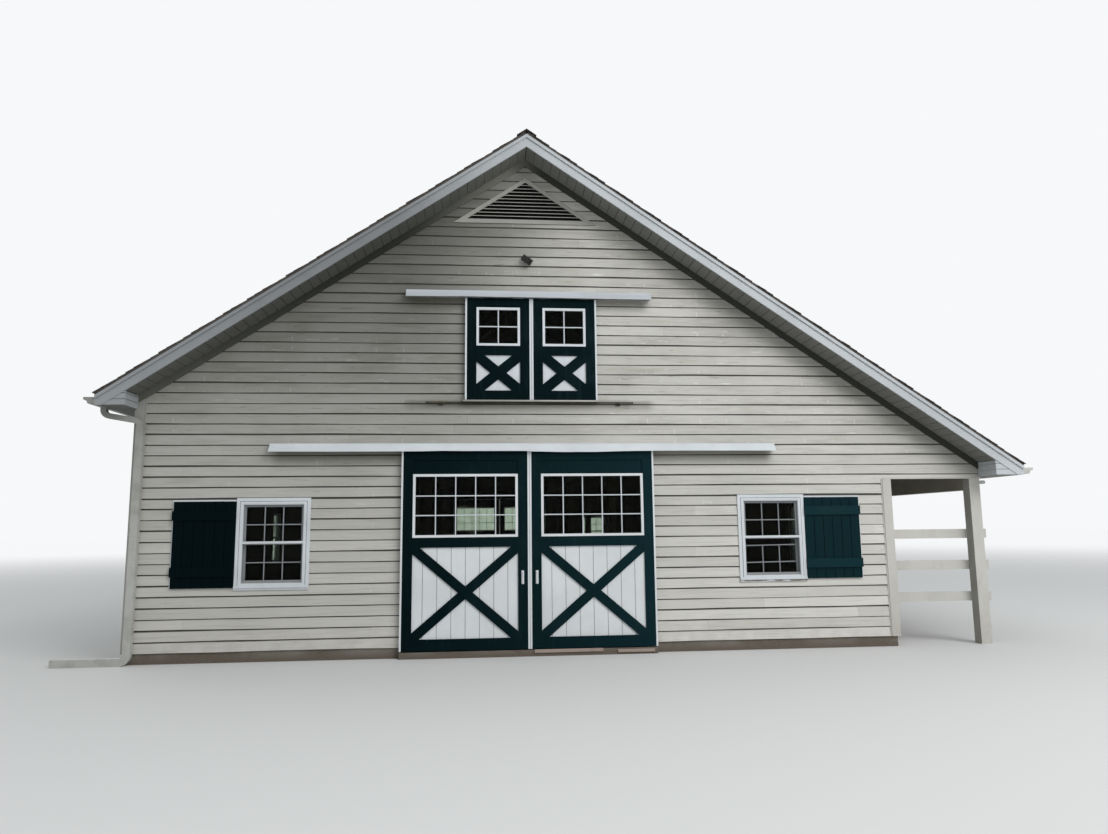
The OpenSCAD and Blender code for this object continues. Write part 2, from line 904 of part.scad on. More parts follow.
// Dark frame with stiles, rails and crossed braces
module leaf_frame(w, h, stile, low, p_top, win_h, brace, over) {
  x0 = strip_w + stile;
  x1 = w - x0;
  win_foot = p_top + mid_rail;
  angle = atan2(p_top - low, x1 - x0);
  difference() {
    block([strip_w, -leaf_t, 0], [w - strip_w, 0, h]);
    block([x0, -leaf_t - eps, low], [x1, eps, p_top]);
    block([x0, -leaf_t - eps, win_foot], [x1, eps, win_foot + win_h]);
  }
  for (lean = [-1, 1]) {
    under = lean == over ? 0 : brace_step;
    upright(-leaf_t + under, brace_t - under) intersection() {
      translate([x0, low]) square([x1 - x0, p_top - low]);
      translate([w / 2, (low + p_top) / 2]) rotate(lean * angle)
        square([2 * w, brace], center = true);
    }
  }
}

// The board between the leaf's window and its top rail lies a little back
module frame_recess() {
  x0 = strip_w + stile_w;
  block(
    [x0, -leaf_t - eps, panel_top + mid_rail + leaf_window_h - eps],
    [leaf_w - x0, -leaf_t + recess_t, leaf_h - top_rail]
  );
}

// White pieces: grooved panel, edge strips and window frame
module leaf_trim(w, h, stile, low, p_top, win_h) {
  x0 = strip_w + stile;
  x1 = w - x0;
  win_foot = p_top + mid_rail;
  boards = floor((x1 - x0) / board_w / 2);
  for (x = [0, w - strip_w])
    block([x, -leaf_t, 0], [x + strip_w, 0, h]);
  difference() {
    block([x0, -leaf_t + brace_t, low], [x1, 0, p_top]);
    for (i = [-boards : boards])
      translate([w / 2 + i * board_w, -leaf_t + brace_t, 0])
        block([-groove_w / 2, -eps, low - eps], [groove_w / 2, groove_w / 2, p_top + eps]);
  }
  difference() {
    block([x0, -leaf_t - leaf_frame_out, win_foot], [x1, 0, win_foot + win_h]);
    block(
      [x0 + leaf_frame_w, -leaf_t - leaf_frame_out - eps, win_foot + leaf_frame_w],
      [x1 - leaf_frame_w, eps, win_foot + win_h - leaf_frame_w]
    );
  }
}

module leaf_glass(w, stile, p_top, win_h) {
  x0 = strip_w + stile + leaf_frame_w;
  win_foot = p_top + mid_rail + leaf_frame_w;
  block([x0, -leaf_t / 2 - glass_t, win_foot], [w - x0, -leaf_t / 2, win_foot + win_h - 2 * leaf_frame_w]);
}

// Pull handle on the inner stile
module pull() {
  plate_w = 38;
  plate_t = 5;
  grip_r = 8;
  stand = 36;
  leg_in = 25;
  translate([strip_w + stile_w * 0.53, -leaf_t, pull_z]) {
    block([-plate_w / 2, -plate_t, 0], [plate_w / 2, 0, pull_h]);
    for (z = [leg_in, pull_h - leg_in])
      translate([0, 0, z]) rotate([90, 0, 0]) cylinder(h = stand, r = grip_r, $fn = 24);
    translate([0, -stand, leg_in - grip_r])
      cylinder(h = pull_h - 2 * (leg_in - grip_r), r = grip_r, $fn = 24);
  }
}

// Hanger: saddle on the leaf's top edge, stem and two pairs of wheels in the track
module hanger(h) {
  axle_z = h + track_lift + track_t + wheel_play + wheel_r;
  axle_r = 4;
  hub = 0.5;
  saddle = [180, leaf_t - 4, 6];
  stem_len = 120;
  wheel_space = 80;
  translate([0, -leaf_t / 2, 0]) {
    block([-saddle.x / 2, -saddle.y / 2, h], [saddle.x / 2, saddle.y / 2, h + saddle.z]);
    block([-stem_len / 2, -stem_t / 2, h], [stem_len / 2, stem_t / 2, axle_z + axle_r + 2]);
    for (x = [-wheel_space / 2, wheel_space / 2])
      translate([x, 0, axle_z]) rotate([90, 0, 0]) {
        cylinder(h = 2 * (wheel_t + hub) + stem_t, r = axle_r, center = true, $fn = 24);
        for (end = [-1, 1])
          translate([0, 0, end * (stem_t / 2 + hub + wheel_t / 2)])
            cylinder(h = wheel_t, r = wheel_r, center = true, $fn = 48);
      }
  }
}

// Each leaf hangs from two hangers, at a fifth of its width from either edge
module leaf_hangers(w, h) {
  for (x = [w / 5, w * 4 / 5])
    translate([x, 0, 0]) hanger(h);
}

// Main leaves
module main_frame(side) {
  leaf_place(side, leaf_z) difference() {
    leaf_frame(leaf_w, leaf_h, stile_w, bottom_rail, panel_top, leaf_window_h, brace_w, -side);
    frame_recess();
  }
}
module main_trim(side) {
  leaf_place(side, leaf_z) {
    leaf_trim(leaf_w, leaf_h, stile_w, bottom_rail, panel_top, leaf_window_h);
    pull();
  }
}
module main_glass(side) {
  leaf_place(side, leaf_z) leaf_glass(leaf_w, stile_w, panel_top, leaf_window_h);
}
module main_hangers(side) {
  leaf_place(side, leaf_z) leaf_hangers(leaf_w, leaf_h);
}

module left_door() {
  color(green) at_front() main_frame(-1);
}
module left_door_trim() {
  color(white) at_front() main_trim(-1);
}
module left_door_glass() {
  color(glass) at_front() main_glass(-1);
}
module left_door_hangers() {
  color(steel) at_front() main_hangers(-1);
}
module right_door() {
  color(green) at_front() main_frame(1);
}
module right_door_trim() {
  color(white) at_front() main_trim(1);
}
module right_door_glass() {
  color(glass) at_front() main_glass(1);
}
module right_door_hangers() {
  color(steel) at_front() main_hangers(1);
}

module back_doors() {
  color(green) at_back() for (side = [-1, 1]) main_frame(side);
}
module back_door_trim() {
  color(white) at_back() for (side = [-1, 1]) main_trim(side);
}

// Loft leaves
module loft_doors() {
  color(green) at_both() for (side = [-1, 1])
    loft_leaf_place(side)
      leaf_frame(
        loft_leaf_w, loft_leaf_h, loft_stile_w, loft_bottom_rail,
        loft_panel_top, loft_window_h, loft_brace_w, -side
      );
}
module loft_door_trim() {
  color(white) at_both() for (side = [-1, 1])
    loft_leaf_place(side)
      leaf_trim(loft_leaf_w, loft_leaf_h, loft_stile_w, loft_bottom_rail, loft_panel_top, loft_window_h);
}
module loft_ledges() {
  color(cream) at_both() on_loft()
    block([-ledge_half, -ledge_d, ledge_z - ledge_t], [ledge_half, 0, ledge_z]);
}
module fixed_hangers() {
  color(steel) for (side = [-1, 1]) {
    at_back() main_hangers(side);
    at_both() loft_leaf_place(side) leaf_hangers(loft_leaf_w, loft_leaf_h);
  }
}

// Double-hung window, drawn with its outside towards -Y
sash_split = 0.5;
jamb_t = 20;

module ring(w, h, bar, y0, t) {
  difference() {
    block([-w / 2, y0, 0], [w / 2, y0 + t, h]);
    block([-w / 2 + bar, y0 - eps, bar], [w / 2 - bar, y0 + t + eps, h - bar]);
  }
}

module window_frame() {
  out_w = window_w + 2 * casing_w;
  out_h = window_h + 2 * casing_w;
  sash_space_w = window_w - 2 * jamb_t;
  sash_space_h = window_h - 2 * jamb_t;
  sash_h = sash_space_h * sash_split + sash_w / 2;
  translate([0, 0, window_z]) {
    translate([0, 0, -casing_w]) ring(out_w, out_h, casing_w, -trim_t, trim_t);
    ring(window_w, window_h, jamb_t, -trim_t, trim_t + 3 * sash_t);
    translate([0, 0, jamb_t + sash_space_h - sash_h])
      ring(sash_space_w, sash_h, sash_w, sash_t / 2, sash_t);
    translate([0, 0, jamb_t]) ring(sash_space_w, sash_h, sash_w, sash_t * 1.5, sash_t);
    block(
      [-out_w / 2 - sill_ear, -trim_t - sill_out, -casing_w * 0.6],
      [out_w / 2 + sill_ear, -trim_t, -casing_w * 0.15]
    );
  }
}

module window_panes() {
  sash_space_w = window_w - 2 * jamb_t;
  sash_space_h = window_h - 2 * jamb_t;
  sash_h = sash_space_h * sash_split + sash_w / 2;
  half = sash_space_w / 2 - sash_w;
  translate([0, 0, window_z + jamb_t]) {
    block([-half, 2 * sash_t - glass_t / 2, sash_w], [half, 2 * sash_t + glass_t / 2, sash_h - sash_w]);
    block(
      [-half, sash_t - glass_t / 2, sash_space_h - sash_h + sash_w],
      [half, sash_t + glass_t / 2, sash_space_h - sash_w]
    );
  }
}

module all_windows() {
  at_both() for (side = [-1, 1])
    translate([axis_x + side * window_x, 0, 0]) children();
  for (side = [-1, 1])
    side_places(side) children();
}

module window_frames() {
  color(white) all_windows() window_frame();
}

module window_glass() {
  color(glass) {
    all_windows() window_panes();
    at_back() for (side = [-1, 1]) main_glass(side);
    at_both() for (side = [-1, 1])
      loft_leaf_place(side) leaf_glass(loft_leaf_w, loft_stile_w, loft_panel_top, loft_window_h);
  }
}

// Board shutter on the outer side of each end window
module shutter(side) {
  x0 = window_x + window_w / 2 + casing_w + shutter_gap;
  board = shutter_w / shutter_boards;
  translate([axis_x, 0, window_z + (window_h - shutter_h) / 2 - shutter_drop]) scale([side, 1, 1]) {
    difference() {
      block([x0, -shutter_t, 0], [x0 + shutter_w, 0, shutter_h]);
      for (i = [1 : shutter_boards - 1])
        block(
          [x0 + i * board - groove_w / 2, -shutter_t - eps, -eps],
          [x0 + i * board + groove_w / 2, -shutter_t + groove_w / 2, shutter_h + eps]
        );
    }
    for (z = [batten_low, shutter_h - batten_in])
      block(
        [x0, -shutter_t - batten_t, z - batten_h / 2],
        [x0 + shutter_w + batten_out, -shutter_t, z + batten_h / 2]
      );
  }
}

module shutters() {
  color(green) at_both() for (side = [-1, 1]) shutter(side);
}

// Triangular louvred vent, following the roof
vent_rise = vent_half * slope;
vent_z = ridge_h - vent_drop - vent_rise;

module vent_outline(inset) {
  v = inset / cos(roof_pitch);
  half = (vent_rise - v - inset) / slope;
  polygon([
    [-half, vent_z + inset],
    [half, vent_z + inset],
    [0, vent_z + vent_rise - v]
  ]);
}

module gable_vent() {
  slat_t = 10;
  slat_d = 75;
  count = ceil(vent_rise / slat_step);
  upright(-trim_t, trim_t) difference() {
    vent_outline(0);
    vent_outline(vent_frame);
  }
  intersection() {
    upright(-trim_t, trim_t + wall_t) vent_outline(vent_frame);
    for (i = [0 : count])
      translate([0, 0, vent_z + vent_frame - slat_t / 2 + i * slat_step])
        along_x(-vent_half, 2 * vent_half) polygon([
          [-trim_t + 5, 0],
          [-trim_t + 5, slat_t],
          [slat_d - trim_t, slat_d + slat_t],
          [slat_d - trim_t, slat_d]
        ]);
  }
}

module gable_vents() {
  color(cream) at_both() gable_vent();
}

// Floodlight under the vent and a small twin light on the porch corner
module floodlight() {
  base_r = 34;
  base_t = 24;
  stem_r = 11;
  stem_len = 24;
  lens_t = 10;
  tilt = 25;
  roll = 35;
  translate([axis_x - flood_aside, 0, vent_z - flood_drop]) {
    rotate([90, 0, 0]) cylinder(h = base_t, r = base_r, $fn = 32);
    rotate([90, 0, 0]) cylinder(h = base_t + stem_len + lens_t, r = stem_r, $fn = 24);
    translate([0, -base_t - stem_len, 0]) rotate([0, roll, 0]) rotate([tilt, 0, 0]) {
      block([-flood_w / 2, -flood_d, -flood_h / 2], [flood_w / 2, 0, flood_h / 2]);
      block(
        [-flood_w / 2 + lens_t, -flood_d - lens_t, -flood_h / 2 + lens_t],
        [flood_w / 2 - lens_t, -flood_d, flood_h / 2 - lens_t]
      );
    }
  }
}

module twin_light() {
  box = [24, 90, 76];
  arm_d = 20;
  translate([porch_x, post_w / 2, apron_z - lamp_drop]) {
    block([0, -box.y / 2, -box.z / 2], [box.x, box.y / 2, box.z / 2]);
    block([box.x, -arm_d / 2, -arm_d / 2], [lamp_out + lamp_step, arm_d / 2, arm_d / 2]);
    for (i = [0, 1])
      translate([lamp_out + lamp_step * i, arm_d, 0]) rotate([90, 0, 0])
        cylinder(h = lamp_len, r = lamp_r, $fn = 32);
  }
}

module wall_lights() {
  color(white) at_front() {
    floodlight();
    twin_light();
  }
}

// Porch
module porch_posts() {
  bays = round((barn_l - post_w) / post_step);
  run = barn_l - post_w;
  color(cream) for (i = [0 : bays])
    translate([porch_x - post_w, -run / 2 + i * run / bays - post_w / 2, 0])
      cube([post_w, post_w, i == 0 || i == bays ? apron_z : header_z]);
}

module porch_header() {
  in_y = barn_l / 2 - post_w;
  in_x = porch_x - post_w;
  color(cream) upright(-in_y, 2 * in_y) polygon([
    [in_x, header_z],
    [porch_x, header_z],
    [porch_x, roof_z(porch_x) - rafter_v - seat],
    [in_x, roof_z(in_x) - rafter_v - seat]
  ]);
}

module porch_rails() {
  color(cream) at_both() for (i = [0 : rails - 1])
    translate([0, 0, rail_z - rail_h / 2 + i * rail_step])
      block([half_w, post_w, 0], [porch_x + rail_past, post_w + rail_t, rail_h]);
}

foundation();
door_sills();
ground_floor();
front_wall();
front_gable();
back_wall();
back_gable();
left_wall();
right_wall();
loft_floor();
loft_joists();
aisle_beams();
aisle_posts();
rafters();
ridge_board();
roof_left();
roof_right();
ridge_cap();
rake_fascias();
eave_fascias();
rake_soffits();
eave_soffits();
eave_returns();
frieze_boards();
corner_boards();
gutters();
downspouts();
door_tracks();
track_covers();
back_doors();
back_door_trim();
loft_doors();
loft_door_trim();
loft_ledges();
fixed_hangers();
window_frames();
window_glass();
shutters();
gable_vents();
wall_lights();
porch_posts();
porch_header();
porch_rails();
left_door();
left_door_trim();
left_door_glass();
left_door_hangers();
right_door();
right_door_trim();
right_door_glass();
right_door_hangers();
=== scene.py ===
import json
import math
import random

import bmesh
import bpy
from mathutils import Matrix, Vector


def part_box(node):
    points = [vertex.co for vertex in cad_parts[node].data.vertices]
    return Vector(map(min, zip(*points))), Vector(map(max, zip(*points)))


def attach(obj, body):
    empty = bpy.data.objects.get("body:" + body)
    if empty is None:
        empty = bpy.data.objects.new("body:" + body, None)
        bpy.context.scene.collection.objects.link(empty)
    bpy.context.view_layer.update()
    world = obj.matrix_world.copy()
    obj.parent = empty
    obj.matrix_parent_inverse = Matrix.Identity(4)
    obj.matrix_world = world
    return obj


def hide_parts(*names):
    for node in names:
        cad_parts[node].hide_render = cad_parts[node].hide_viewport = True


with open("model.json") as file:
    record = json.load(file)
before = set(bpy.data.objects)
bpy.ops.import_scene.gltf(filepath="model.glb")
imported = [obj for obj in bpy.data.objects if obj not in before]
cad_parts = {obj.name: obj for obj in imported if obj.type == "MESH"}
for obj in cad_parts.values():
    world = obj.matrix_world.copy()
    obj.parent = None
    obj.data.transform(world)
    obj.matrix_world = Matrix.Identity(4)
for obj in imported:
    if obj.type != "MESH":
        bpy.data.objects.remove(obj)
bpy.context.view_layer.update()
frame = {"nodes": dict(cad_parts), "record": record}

# Camera, found from the photograph's upright edges and siding lines
PHOTO_SIZE = (1108, 834)
FOCAL_PIXELS = 795.8
SENSOR_WIDTH = 36.0
CAMERA_PLACE = (-0.664, -21.518, 1.828)
CAMERA_YAW = -0.09127
CAMERA_PITCH = 0.13680
CAMERA_ROLL = 0.01047

# Lap siding
COURSE = 0.1524
BUTT = 0.013
FEATHER = 0.002
TUCK = 0.014
BOARD_LENGTH = 4.88
BOARD_GAP = 0.0015
STATION = 0.6
SAG = 0.0040
TONES = 12
SEAM_MARGIN = 0.15
SLIVER = 0.004
STUD_SPACING = 0.4064

# Roof covering
EXPOSURE = 0.127
SHINGLE_TUCK = 0.02
SHINGLE_W = (0.7, 1.0)
TAB_W = (0.08, 0.24)
TAB_GAP = (0.04, 0.16)
SHINGLE_BUTT = 0.009
TAB_RISE = 0.005
RAGGED = 0.010
STEP_OUT = 0.014
DECK_T = 0.036
DECK_IN = 0.040
RAKE_EDGE = 0.024
CAP_EXPOSURE = 0.145
CAP_T = 0.007

# Boards at the roof's edges
SOFFIT_PANEL = 0.305
SOFFIT_GAP = 0.007
PANEL_T = 0.011
DRIP_OUT = 0.018
DRIP_H = 0.052
RETURN_BOARD = 0.085
RETURN_SEAM = 0.006
RETURN_OUT = 0.015
RETURN_LIP = 0.012
RETURN_REACH = 0.09

# Trim of walls, doors and windows
TRIM_T = 0.025
WALL_T = 0.15
CORNER_W = 0.110
CORNER_LEG = 0.085
STRIP_W = 0.018
STRIP_OUT = 0.017
CASING_W = 0.076
JAMB_W = 0.066
LINING_T = 0.010
LEAF_LAP = 0.070
LEAF_PLAY = 0.0025
LOFT_TOP_LAP = 0.035
LEDGER_H = 0.090
HOOD_LEDGER_T = 0.056
HOOD_SHEET = 0.004
HEM = 0.012
HOOD_BAND = 0.032
HOOD_SAG = 0.016
HOOD_SECTION = 3.05
HOOD_STATION = 0.12
HOOD_LAP = 0.02
MUNTIN = 0.016
MUNTIN_D = 0.014
BAR_EASE = 0.003
SLIP = 0.095
SLIP_TILT = 0.012
STORM_EDGE = 0.017
STORM_RAIL = 0.034
STORM_OUT = 0.006
STORM_LAP = 0.024
STORM_GAP = 0.006
SASH_FOOT = 0.050
RAIL_TAIL = 0.095
THRESHOLD = ((0.06, 1.05, 0.050, 0.095), (1.26, 1.80, 0.030, 0.072))
SHUTTER_W = 0.855
SHUTTER_EDGE = 0.016
SHUTTER_BACK_T = 0.020
STRAP_W = 0.028
STRAP_OUT = 0.056
STRAP_LEVELS = (0.62, 1.75)
STRAP_EASE = 0.001
STRAP_SPACING = 0.75
EASE = 0.002
FINE_EASE = 0.0015

# Light and floor
FLOOR_REACH = 160.0
FLOOR_FADE = (9.0, 60.0)
BACKDROP = (0.93, 0.94, 0.95)
FLOOR_TONE = (0.62, 0.62, 0.61)
SKY_TONE = (0.93, 0.97, 1.0)
SKY_LOW = 0.15
SKY_HIGH = 0.95
KEY_PLACE = (13.0, -26.0, 16.0)
KEY_AIM = (0.0, -9.75, 3.0)
KEY_SIZE = 14.0
KEY_POWER = 3600.0
FILL_AIM = (-0.7, 0.9, 0.9)
FILL_STRENGTH = 0.25
FILL_ANGLE = 0.9

SEED = 4119
UP = Vector((0, 0, 1))

record = frame["record"]
node_slots = {part["node"]: part["material_slot"] for part in record["subparts"]}


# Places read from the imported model

def span(node):
    """Lowest and highest corner of a CAD node."""
    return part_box(node)


def low_high(points):
    """The lowest and highest corner of some points."""
    return tuple(Vector([pick(p[axis] for p in points) for axis in range(3)]) for pick in (min, max))


def signs(low):
    """Which side of the middle a box lies on, across and along the building."""
    return 1 if low.x > 0 else -1, 1 if low.y > 0 else -1


def lie(low, high):
    """The axis that a pane or frame faces along, the axis it runs along, and its side of the middle."""
    flat = 0 if high.x - low.x < 0.3 else 1
    return flat, 1 - flat, signs(low)[flat]


def solids(node):
    """The corners of each separate solid of a CAD node, sorted by place."""
    mesh = bmesh.new()
    mesh.from_mesh(frame["nodes"][node].data)
    bmesh.ops.remove_doubles(mesh, verts=mesh.verts, dist=1e-5)
    mesh.verts.ensure_lookup_table()
    seen = [False] * len(mesh.verts)
    boxes = []
    for first in mesh.verts:
        if seen[first.index]:
            continue
        seen[first.index] = True
        group = [first]
        for vert in group:
            for edge in vert.link_edges:
                other = edge.other_vert(vert)
                if not seen[other.index]:
                    seen[other.index] = True
                    group.append(other)
        boxes.append(low_high([vert.co for vert in group]))
    mesh.free()
    return sorted(boxes, key=lambda box: tuple(round(c, 3) for c in (*box[0], *box[1])))


front_y = span("front_wall")[0].y
half_l = -front_y
half_w = -span("left_wall")[0].x
porch_x = span("porch_posts")[1].x
ridge_z = span("ridge_board")[1].z
door_head = span("front_wall")[1].z
apron_z = min(span("front_gable")[0].z, door_head)
roof_low, roof_high = span("roof_left")
right_edge = span("roof_right")[1].x
left_edge = -roof_low.x
slope = (ridge_z - roof_low.z) / left_edge
pitch = math.atan(slope)
fascia_low, fascia_high = span("rake_fascias")
fascia_depth = ridge_z - span("frieze_boards")[1].z
siding_foot = span("front_wall")[0].z
corner_x = half_w - CORNER_W
track_z = span("door_tracks")[0].z
loft_z = span("loft_floor")[1].z
loft_head = span("loft_doors")[1].z - LOFT_TOP_LAP
door_low, door_high = span("left_door_trim")[0].x, span("right_door_trim")[1].x
axis_x = (door_low + door_high) / 2
door_half = (door_high - door_low) / 2 - LEAF_LAP - LEAF_PLAY
loft_low, loft_high = (corner.x for corner in span("loft_door_trim"))
loft_x = sum(corner.x for corner in span("loft_ledges")) / 2
loft_half = (loft_high - loft_low) / 2 - LEAF_LAP - LEAF_PLAY


def roof_z(x):
    """Height of the rafter tops at a distance from the ridge."""
    return ridge_z - abs(x) * slope


frieze_depth = roof_z(porch_x) - span("frieze_boards")[0].z
rafter_depth = roof_z(half_w - WALL_T) - span("left_wall")[1].z


# Meshes

class Pile:
    """Gathers many small solids into one mesh, with a shade and a rise on each point."""

    def __init__(self):
        self.points = []
        self.faces = []
        self.shades = []
        self.rises = []

    def tube(self, rings, shade=0.5, rises=None):
        """A closed solid through rings of points, capped at both ends."""
        start = len(self.points)
        count = len(rings[0])
        for ring in rings:
            self.points.extend(ring)
            self.rises.extend(rises or [0.5] * count)
        self.shades.extend([shade] * count * len(rings))
        for i in range(len(rings) - 1):
            a = start + i * count
            for j in range(count):
                k = (j + 1) % count
                self.faces.append((a + j, a + k, a + count + k, a + count + j))
        last = start + (len(rings) - 1) * count
        self.faces.append(tuple(start + j for j in reversed(range(count))))
        self.faces.append(tuple(last + j for j in range(count)))

    def bar(self, a, b, wide, deep, edge=EASE):
        """A bar from a to b, with half its width and half its depth as vectors, and eased edges."""
        along = (b - a).normalized() * edge
        w = wide.normalized() * edge
        d = deep.normalized() * edge

        def ring(middle, ease):
            x = wide - w * ease
            y = deep - d * ease
            corners = ((x, y - d), (x - w, y), (w - x, y), (-x, y - d))
            first = [middle + p + q for p, q in corners]
            return first + [middle - p - q for p, q in corners]

        self.tube([ring(a, 1), ring(a + along, 0), ring(b - along, 0), ring(b, 1)])

    def box(self, a, b, edge=EASE):
        """A box with eased edges, between any two opposite corners."""
        low, high = low_high((a, b))
        size = high - low
        axis = max(range(3), key=lambda i: size[i])
        others = [i for i in range(3) if i != axis]
        start = (low + high) / 2
        end = start.copy()
        start[axis], end[axis] = low[axis], high[axis]
        halves = [Vector([size[i] / 2 if i == other else 0 for i in range(3)]) for other in others]
        self.bar(start, end, *halves, min(edge, *(size[i] / 4 for i in others)))

    def rim(self, place, outer, inner, reach, edge=EASE):
        """Four bars round an opening, between two rectangles given as left, foot, right and head."""
        (a, b, c, d), (e, f, g, h) = outer, inner
        for u0, v0, u1, v1 in ((a, b, e, d), (g, b, c, d), (e, b, g, f), (e, h, g, d)):
            self.box(place(u0, v0, reach[0]), place(u1, v1, reach[1]), edge)

    def prism(self, outline, place, high, edge=EASE):
        """A convex outline in along and up, from the wall outwards, with an eased front."""
        levels = ((outline, 0.0), (outline, high - edge), (inset(outline, edge), high))
        self.tube([[place(u, v, n) for u, v in points] for points, n in levels])

    def make(self, name, slot, paint=None, body="root"):
        """Turns the pile into an object that rides on a body. The slot's own paint needs no naming."""
        mesh = bpy.data.meshes.new(name)
        mesh.from_pydata([tuple(p) for p in self.points], [], self.faces)
        for title, values in (("shade", self.shades), ("rise", self.rises)):
            mesh.attributes.new(title, "FLOAT", "POINT").data.foreach_set("value", values)
        work = bmesh.new()
        work.from_mesh(mesh)
        bmesh.ops.recalc_face_normals(work, faces=work.faces)
        work.to_mesh(mesh)
        work.free()
        mesh.materials.append(paint or paints[slot])
        piece = bpy.data.objects.new(name, mesh)
        bpy.context.scene.collection.objects.link(piece)
        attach(piece, body)
        return piece


def inset(outline, edge):
    """A convex outline with each of its sides moved in by the same distance."""
    count = len(outline)
    area = sum(
        outline[i][0] * outline[(i + 1) % count][1] - outline[(i + 1) % count][0] * outline[i][1]
        for i in range(count)
    )
    turn = 1 if area > 0 else -1
    lines = []
    for i in range(count):
        p, q = Vector(outline[i]), Vector(outline[(i + 1) % count])
        along = (q - p).normalized()
        inward = Vector((-along.y, along.x)) * turn
        lines.append((p + inward * edge, along))
    moved = []
    for i, (q, b) in enumerate(lines):
        p, a = lines[i - 1]
        cross = a.x * b.y - a.y * b.x
        t = ((q.x - p.x) * b.y - (q.y - p.y) * b.x) / cross
        moved.append(tuple(p + a * t))
    return moved


def clip(outline, low, high):
    """The part of a convex outline that lies in a rectangle."""
    for axis in range(2):
        for limit, sign in ((low[axis], 1), (high[axis], -1)):
            kept = []
            for i, q in enumerate(outline):
                p = outline[i - 1]
                p_in = (p[axis] - limit) * sign
                q_in = (q[axis] - limit) * sign
                if (p_in > 0) != (q_in > 0):
                    t = p_in / (p_in - q_in)
                    kept.append(tuple(p[k] + (q[k] - p[k]) * t for k in range(2)))
                if q_in > 0:
                    kept.append(q)
            outline = kept
    return outline


def facing(origin, along, out):
    """A function from along, up and out on one side of the building to a point."""
    origin, along, out = Vector(origin), Vector(along), Vector(out)

    def place(u, v, n):
        return origin + along * u + UP * v + out * n

    return place


front = facing((0, front_y, 0), (1, 0, 0), (0, -1, 0))
back = facing((0, -front_y, 0), (1, 0, 0), (0, 1, 0))
left = facing((-half_w, 0, 0), (0, 1, 0), (-1, 0, 0))
right = facing((half_w, 0, 0), (0, 1, 0), (1, 0, 0))


# Materials

GLASS_IOR = 1.12
WHITE = (0.640, 0.675, 0.700)
CREAM = (0.545, 0.532, 0.495)
# Dark grey laid on as mould, and also as painted shade
MILDEW_AND_SHADE = (0.004, 0.007, 0.003)
GREEN_SHADE = (0.0006, 0.0045, 0.0055)
GREEN_RIGHT = (0.0060, 0.0270, 0.0330)
GREEN_DUST = (0.0130, 0.0330, 0.0370)
SASH_SHADE = (0.235, 0.250, 0.262)
# What like boards share: worn colour, and for some also grime, amount of dirt and roughness
WORN_WHITE = (0.50, 0.47, 0.42)
WORN_CREAM = ((0.70, 0.69, 0.65), (0.36, 0.35, 0.30), 0.35, 0.55)
WORN_SASH = ((0.44, 0.38, 0.32), (0.42, 0.43, 0.42), 0.3, 0.5)


class Nodes:
    """Adds shader nodes to one tree and fills their inputs."""

    def __init__(self, tree):
        self.tree = tree

    def put(self, socket, value):
        """Links a socket or sets a plain value on an input."""
        if isinstance(value, bpy.types.NodeSocket):
            self.tree.links.new(value, socket)
        elif isinstance(value, tuple) and len(value) == 3 and len(socket.default_value) == 4:
            socket.default_value = (*value, 1)
        else:
            socket.default_value = value

    def add(self, kind, inputs=None, **settings):
        """Adds one node, with its inputs given by name or by number."""
        node = self.tree.nodes.new("ShaderNode" + kind)
        for name, value in settings.items():
            setattr(node, name, value)
        for name, value in (inputs or {}).items():
            self.put(node.inputs[name], value)
        return node

    def math(self, operation, a, b=0.0):
        return self.add("Math", {0: a, 1: b}, operation=operation).outputs[0]


